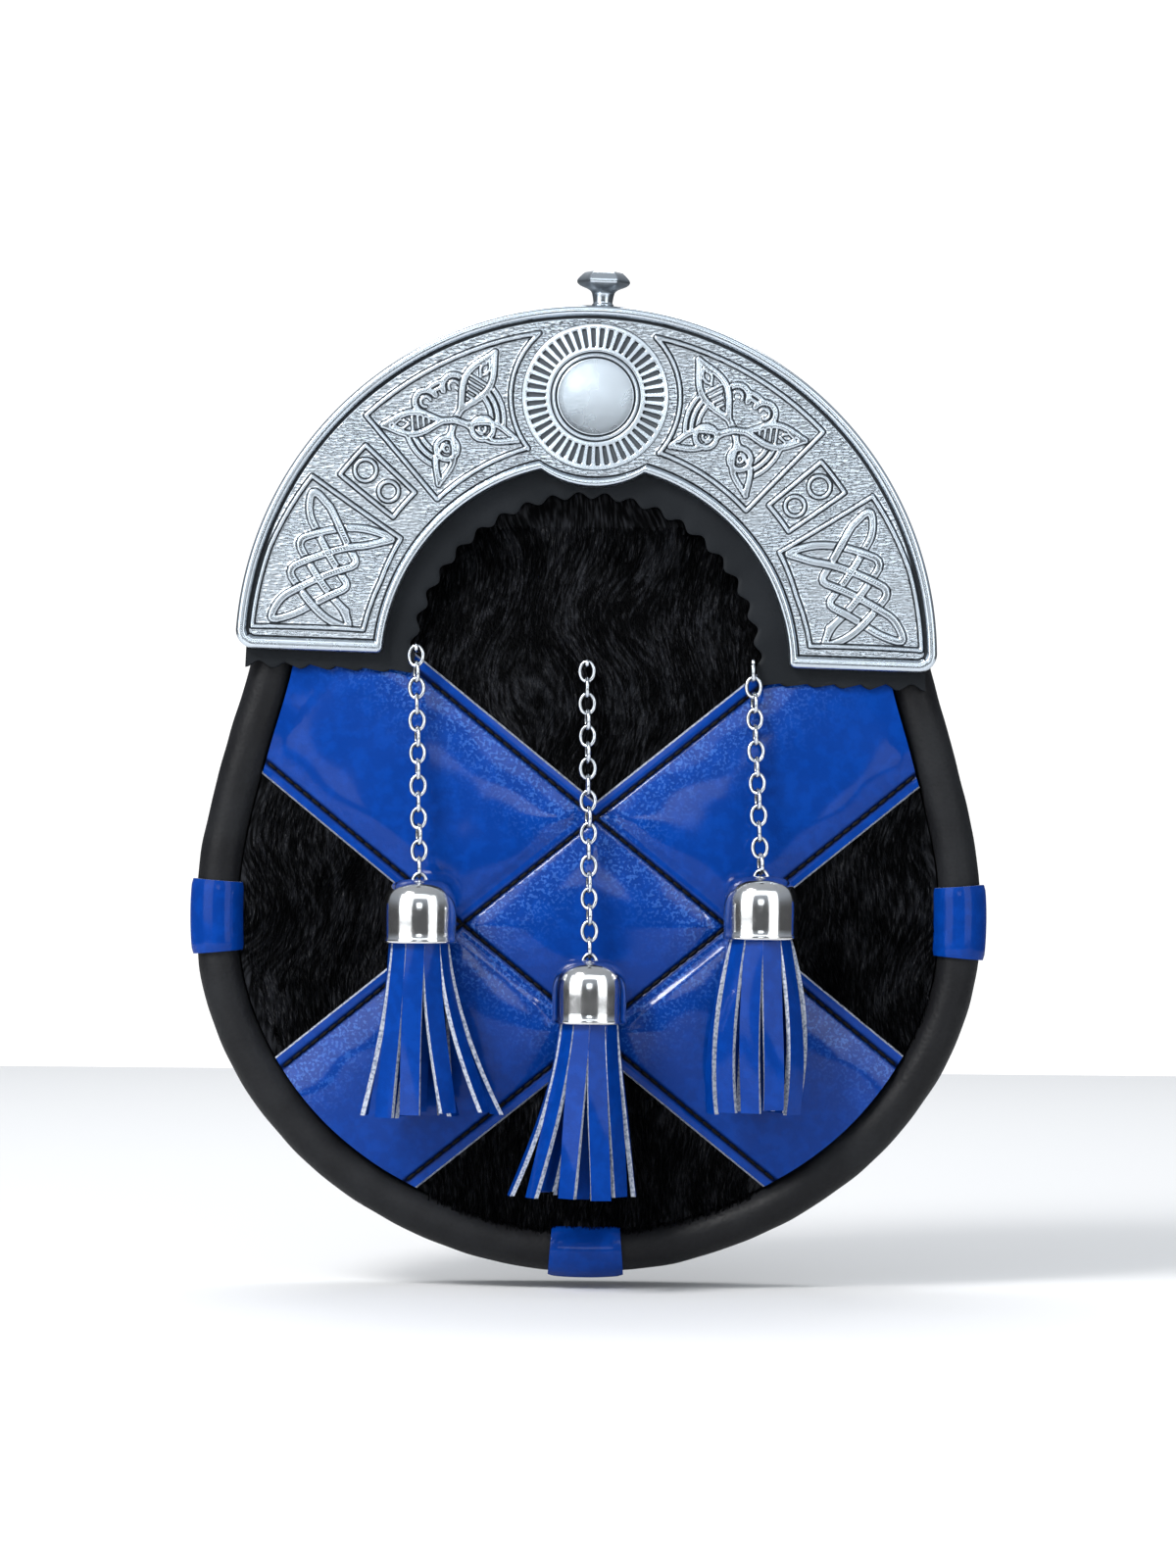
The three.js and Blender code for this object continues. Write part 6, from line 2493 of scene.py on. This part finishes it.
@dataclass
class PouchBack:
    """The gusset, the back panel with its mouth, the flap and the strap loops."""

    finishes: Finishes
    outer_y: float = -2.5
    wall: float = 2.0
    gap: float = 0.3
    front_y: float = -25.5
    side_inset: float = 6.6
    mouth: tuple = (50.0, -34.0, -60.0, 8.0)
    flap: tuple = (62.0, -25.0, -96.0, 4.0, 30.0)
    stud_z: float = -86.0
    loop_x: float = 45.0
    loop_width: float = 20.0
    loop_half_height: float = 23.0
    slot_half_height: float = 15.0
    slot_depth: float = 5.0
    stitch_rise: float = 0.12

    def gusset(self) -> bpy.types.Object:
        """Builds the gusset, a little drawn in between front and back.

        Returns:
            The piece.
        """
        outer, inner = OUTLINE.inset(self.side_inset, 300), OUTLINE.inset(self.side_inset + self.wall, 300)
        back_y = self.outer_y - self.wall - self.gap
        t = np.linspace(0, 1, 12)[:, None]
        depth = self.front_y + (back_y - self.front_y) * t
        waist = 0.9 * np.sin(math.pi * t)
        ripple = 0.1 * np.sin(37 * circle(300)) * np.sin(math.pi * t)
        pull = (waist + ripple)[..., None] * unit(outer.mean(axis=0) - outer)
        form = shell(stand(outer + pull, depth), stand(inner + pull, depth), around=True)
        return settle(add_piece("gusset_leather", form, [self.finishes.pouch]), Slot.POUCH, "gusset")

    def _rounded_rect(self, half: float, top: float, bottom: float, upper: float, lower: float) -> Array:
        """Draws a rectangle with rounded corners as a closed line, clockwise from its top left.

        Args:
            half: half its width.
            top: its upper side.
            bottom: its lower side.
            upper: the radius of its upper corners.
            lower: the radius of its lower corners.

        Returns:
            The line, as 200 even points.
        """
        corners = (
            (-half + upper, top - upper, upper, 270),
            (half - upper, top - upper, upper, 0),
            (half - lower, bottom + lower, lower, 90),
            (-half + lower, bottom + lower, lower, 180),
        )
        points = []
        for x, z, radius, start in corners:
            angle = np.radians(start + np.linspace(0, 90, 10))
            points.append(np.stack([x + radius * np.sin(angle), z + radius * np.cos(angle)], -1))
        loop = np.vstack(points)
        closed = np.vstack([loop, loop[:1]])
        reach = np.concatenate([[0], np.cumsum(np.linalg.norm(np.diff(closed, axis=0), axis=1))])
        even = np.linspace(0, reach[-1], 200, endpoint=False)
        return np.stack([np.interp(even, reach, closed[:, k]) for k in (0, 1)], axis=-1)

    def _slab(self, outer: Array, inner: Array | None, low_y: float, high_y: float) -> Form:
        """Makes a flat leather piece with softened edges between two closed lines.

        Args:
            outer: its rim.
            inner: the rim of its hole, if it has one.
            low_y: its face towards the front.
            high_y: its face towards the back.

        Returns:
            The form.
        """
        centre = outer.mean(axis=0)
        inside = inner if inner is not None else np.broadcast_to(centre, outer.shape)
        shares = np.array([0, 0.008, 0.02, 0.2, 0.5, 0.8, 0.98, 0.992, 1.0])
        soft = np.array([0.45, 0.12, 0, 0, 0, 0, 0, 0.12, 0.45])
        if inner is None:
            soft[-3:] = 0
        place = outer[None] + (inside - outer)[None] * shares[:, None, None]
        back = stand(place, high_y - soft[:, None])
        front = stand(place, low_y + soft[:, None])
        return shell(back, front, around=True)

    def panel(self, tree: bpy.types.NodeTree) -> None:
        """Builds the back panel and the stitches round it.

        Args:
            tree: the stitches' nodes.
        """
        half, top, bottom, corner = self.mouth
        outer = OUTLINE.inset(self.side_inset, 200)
        hole = self._rounded_rect(half, top, bottom, corner, corner)
        centre = np.array([0.0, (top + bottom) / 2])
        rim_away, hole_away = outer - centre, hole - centre
        bearing = np.unwrap(np.arctan2(rim_away[:, 0], rim_away[:, 1]))
        hole_bearing = np.arctan2(hole_away[:, 0], hole_away[:, 1])
        order = np.argsort(hole_bearing)
        known = hole_bearing[order]
        matched = [np.interp(bearing, known, hole[order, k], period=2 * math.pi) for k in (0, 1)]
        inner = np.stack(matched, axis=-1)
        form = self._slab(outer, inner, self.outer_y - self.wall, self.outer_y)
        settle(add_piece("back_panel_leather", form, [self.finishes.pouch]), Slot.POUCH, "back_panel")
        rim = OUTLINE.inset(self.side_inset + 3.5, 300)
        line = stand(rim, self.outer_y + self.stitch_rise)
        self._sew("back_panel_stitches", [np.vstack([line, line[:1]])], tree)

    def _sew(self, name: str, lines: Sequence[Array], tree: bpy.types.NodeTree) -> None:
        """Sews stitches that face backwards along lines."""
        values = {"Material": self.finishes.thread, "Facing": (0.0, 1.0, 0.0), "Thickness": 0.6 * MM}
        settle(grow(name, line_object(name, lines), tree, values), Slot.FACING)

    def flap_piece(self, tree: bpy.types.NodeTree) -> None:
        """Builds the flap, its stitches and its press stud.

        Args:
            tree: the stitches' nodes.
        """
        half, top, bottom, upper, lower = self.flap
        low_y = self.outer_y + self.gap
        high_y = low_y + self.wall
        loop = self._rounded_rect(half, top, bottom, upper, lower)
        settle(
            add_piece("back_flap_leather", self._slab(loop, None, low_y, high_y), [self.finishes.pouch]),
            Slot.POUCH,
            "back_flap",
        )
        inner = self._rounded_rect(half - 3, top - 3, bottom + 3, 3, lower - 3)
        line = stand(inner, high_y + self.stitch_rise)
        self._sew("back_flap_stitches", [np.vstack([line, line[:1]])], tree)
        profile = np.array([(0, 0), (6, 0), (6, 0.5), (5.6, 1.5), (4.6, 2.2), (3, 2.55), (0, 2.6)])
        stud = turned(rounded(profile, 2), 40)
        x, y, z = stud.points.T
        stud.points = xyz(x, z + high_y + self.gap, self.stud_z - y)
        settle(add_piece("flap_stud_cap", stud, [self.finishes.bright]), Slot.STUD, "flap_stud")

    def strap_loop(self, name: str, x: float, tree: bpy.types.NodeTree) -> None:
        """Builds one strap loop, a band that stands off the back between its sewn ends.

        Args:
            name: which side it is on.
            x: its middle.
            tree: the stitches' nodes.
        """
        low = self.outer_y + self.gap
        high = self.outer_y + self.slot_depth
        sewn, slot = self.loop_half_height, self.slot_half_height
        below = [(low, -sewn), (low, -slot - 1.6), (high, -slot + 1.2)]
        above = [(high, slot - 1.2), (low, slot + 1.6), (low, sewn)]
        path = rounded([*below, *above], 3)
        ahead = unit(np.gradient(path, axis=0))
        normal = np.stack([ahead[:, 1], -ahead[:, 0]], axis=-1)
        across = np.array([-1, -0.97, -0.9, -0.5, 0, 0.5, 0.9, 0.97, 1]) * self.loop_width / 2
        soft = np.array([0.4, 0.1, 0, 0, 0, 0, 0, 0.1, 0.4])
        faces = []
        for out in (self.wall - soft, 0 * soft):
            depth, up = path[:, :1] + normal[:, :1] * out, path[:, 1:] + normal[:, 1:] * out
            faces.append(xyz(x + across, depth, up))
        form = shell(*faces)
        settle(
            add_piece(f"strap_loop_{name}_leather", form, [self.finishes.pouch]),
            Slot.POUCH,
            f"strap_loop_{name}",
        )
        lines = []
        for sign in (-1, 1):
            low_z, high_z = sign * (self.slot_half_height + 3.2), sign * (self.loop_half_height - 1.8)
            half = self.loop_width / 2 - 2.2
            box = np.array([(-half, low_z), (half, low_z), (half, high_z), (-half, high_z), (-half, low_z)])
            lines.append(stand(box + (x, 0), low + self.wall + self.stitch_rise))
        self._sew(f"strap_loop_{name}_stitches", lines, tree)

    def build(self, tree: bpy.types.NodeTree) -> None:
        """Builds the back's pieces."""
        self.gusset()
        self.panel(tree)
        self.flap_piece(tree)
        self.strap_loop("left", -self.loop_x, tree)
        self.strap_loop("right", self.loop_x, tree)


# The studio


@dataclass
class Studio:
    """The plain studio: camera, floor, lights and a pale room."""

    finishes: Finishes
    view_x: float = -0.4
    view_z: float = -75.4
    view_height: float = 396.4
    object_y: float = -38.0
    lens: float = 135.0
    roll_deg: float = 0.5
    floor_z: float = -203.5
    sensor_width: float = 36.0
    low_room: Color = (0.10, 0.10, 0.105)
    high_room: Color = (0.9, 0.95, 1.0)
    room_stops: tuple = ((0.44, low_room), (0.52, (0.20, 0.205, 0.21)), (0.66, (0.62, 0.68, 0.76)))
    backdrop: Color = (2.3, 2.3, 2.3)
    room_strength: float = 0.5

    def camera(self) -> None:
        """Makes the camera, square on to the front and a little rolled."""
        data = bpy.data.cameras.new("camera")
        data.lens = self.lens
        data.sensor_width = self.sensor_width
        data.clip_start, data.clip_end = 0.05, 20
        camera = link_object("camera", data)
        distance = self.view_height * self.lens / data.sensor_width
        camera.location = Vector((self.view_x, self.object_y - distance, self.view_z)) * MM
        camera.rotation_euler = (math.radians(90), math.radians(-self.roll_deg), 0)
        bpy.context.scene.camera = camera

    def set_built(self) -> None:
        """Builds the flat floor, which runs back until it meets the pale room."""
        depths = np.array([-660.0, -200.0, 300.0, 1100.0])[:, None]
        rows = xyz(np.linspace(-650, 650, 3), depths, self.floor_z)
        below = rows + (0, 0, -6)
        add_piece("studio_floor", shell(rows, below), [self.finishes.paint])

    def _lamp(self, name: str, place: tuple, aim: tuple, size: tuple, power: float, color: Color) -> None:
        """Hangs one soft rectangular light.

        Args:
            name: its name.
            place: where it hangs, in metres.
            aim: the place it faces.
            size: its width and height.
            power: its power in watts.
            color: its colour.
        """
        data = bpy.data.lights.new(name, "AREA")
        data.shape = "RECTANGLE"
        data.size, data.size_y = size
        data.energy = power
        data.color = color
        lamp = link_object(name, data)
        lamp.location = place
        direction = Vector(aim) - Vector(place)
        lamp.rotation_euler = direction.to_track_quat("-Z", "Y").to_euler()

    def lights(self) -> None:
        """Lights the set with a soft key from the upper left and weaker lights round the front."""
        aim = (0, -0.03, -0.08)
        self._lamp("key", (-0.8, -1.0, 0.95), aim, (0.5, 0.5), 24, (1.0, 0.985, 0.97))
        self._lamp("top_front", (0.05, -1.15, 0.72), aim, (1.5, 0.4), 3, (0.9, 0.96, 1.0))
        self._lamp("side_left", (-0.47, -0.52, 0.1), aim, (0.5, 0.5), 1.9, (0.95, 0.98, 1.0))
        self._lamp("side_right", (0.42, -0.52, 0.08), aim, (0.34, 0.5), 1.1, (0.95, 0.98, 1.0))
        self._lamp("front", (0.0, -1.9, 0.24), aim, (0.5, 0.3), 1.5, (0.92, 0.97, 1.0))
        self._lamp("floor_wash", (0, 0.75, 1.2), (0, 0.8, -0.2), (1.4, 0.6), 14, (1, 1, 1))

    def world(self) -> None:
        """Surrounds the set with a room that is pale above and behind, and dim low down."""
        world = bpy.data.worlds.new("room")
        world.use_nodes = True
        graph = Graph(world.node_tree)
        graph.tree.nodes.clear()
        around = graph.socket("ShaderNodeTexCoord", output="Generated")
        split = graph.node("ShaderNodeSeparateXYZ", {}, {0: around})
        height = graph.socket("ShaderNodeMapRange", {}, {0: split.outputs["Z"], 1: -1.0, 2: 1.0})
        ramp = graph.node("ShaderNodeValToRGB", {}, {0: height})
        stops = ramp.color_ramp.elements
        stops[0].color, stops[1].color = (*self.low_room, 1), (*self.high_room, 1)
        for position, color in self.room_stops:
            stops.new(position).color = (*color, 1)
        behind = graph.socket("ShaderNodeMapRange", {}, {0: split.outputs["Y"], 1: 0.9, 2: 0.95})
        mixed = {0: behind, 6: ramp.outputs[0], 7: (*self.backdrop, 1)}
        pale = graph.socket("ShaderNodeMix", {"data_type": "RGBA"}, mixed, 2)
        lit = {"Color": pale, "Strength": self.room_strength}
        graph.node("ShaderNodeOutputWorld", {}, {0: graph.socket("ShaderNodeBackground", {}, lit)})
        bpy.context.scene.world = world
        bpy.context.scene.view_settings.view_transform = "Standard"

    def build(self) -> None:
        """Builds the studio."""
        self.camera()
        self.set_built()
        self.lights()
        self.world()


def main() -> None:
    """Builds the sporran and its studio."""
    logging.basicConfig(level=logging.INFO, format="%(name)s %(message)s")
    finishes = Finishes()
    stitches, links = stitch_tree(), link_tree()
    Studio(finishes).build()
    Cantle(finishes).build()
    Facing(finishes).build()
    cross = QuiltedCross(finishes)
    cross.leather()
    cross.stitches(stitches)
    HidePanel(finishes, cross).build()
    EdgeRoll(finishes).build()
    tassels = (
        Tassel(finishes, "left", (-44.1, -39.2), (-42.4, -99.6), 15, on_facing=True),
        Tassel(finishes, "middle", (-1.0, -41.2), (0.4, -119.4), 19),
        Tassel(finishes, "right", (40.8, -41.6), (43.2, -98.0), 14),
    )
    for tassel in tassels:
        tassel.build(links)
    PouchBack(finishes).build(stitches)


if __name__ == "__main__":
    main()
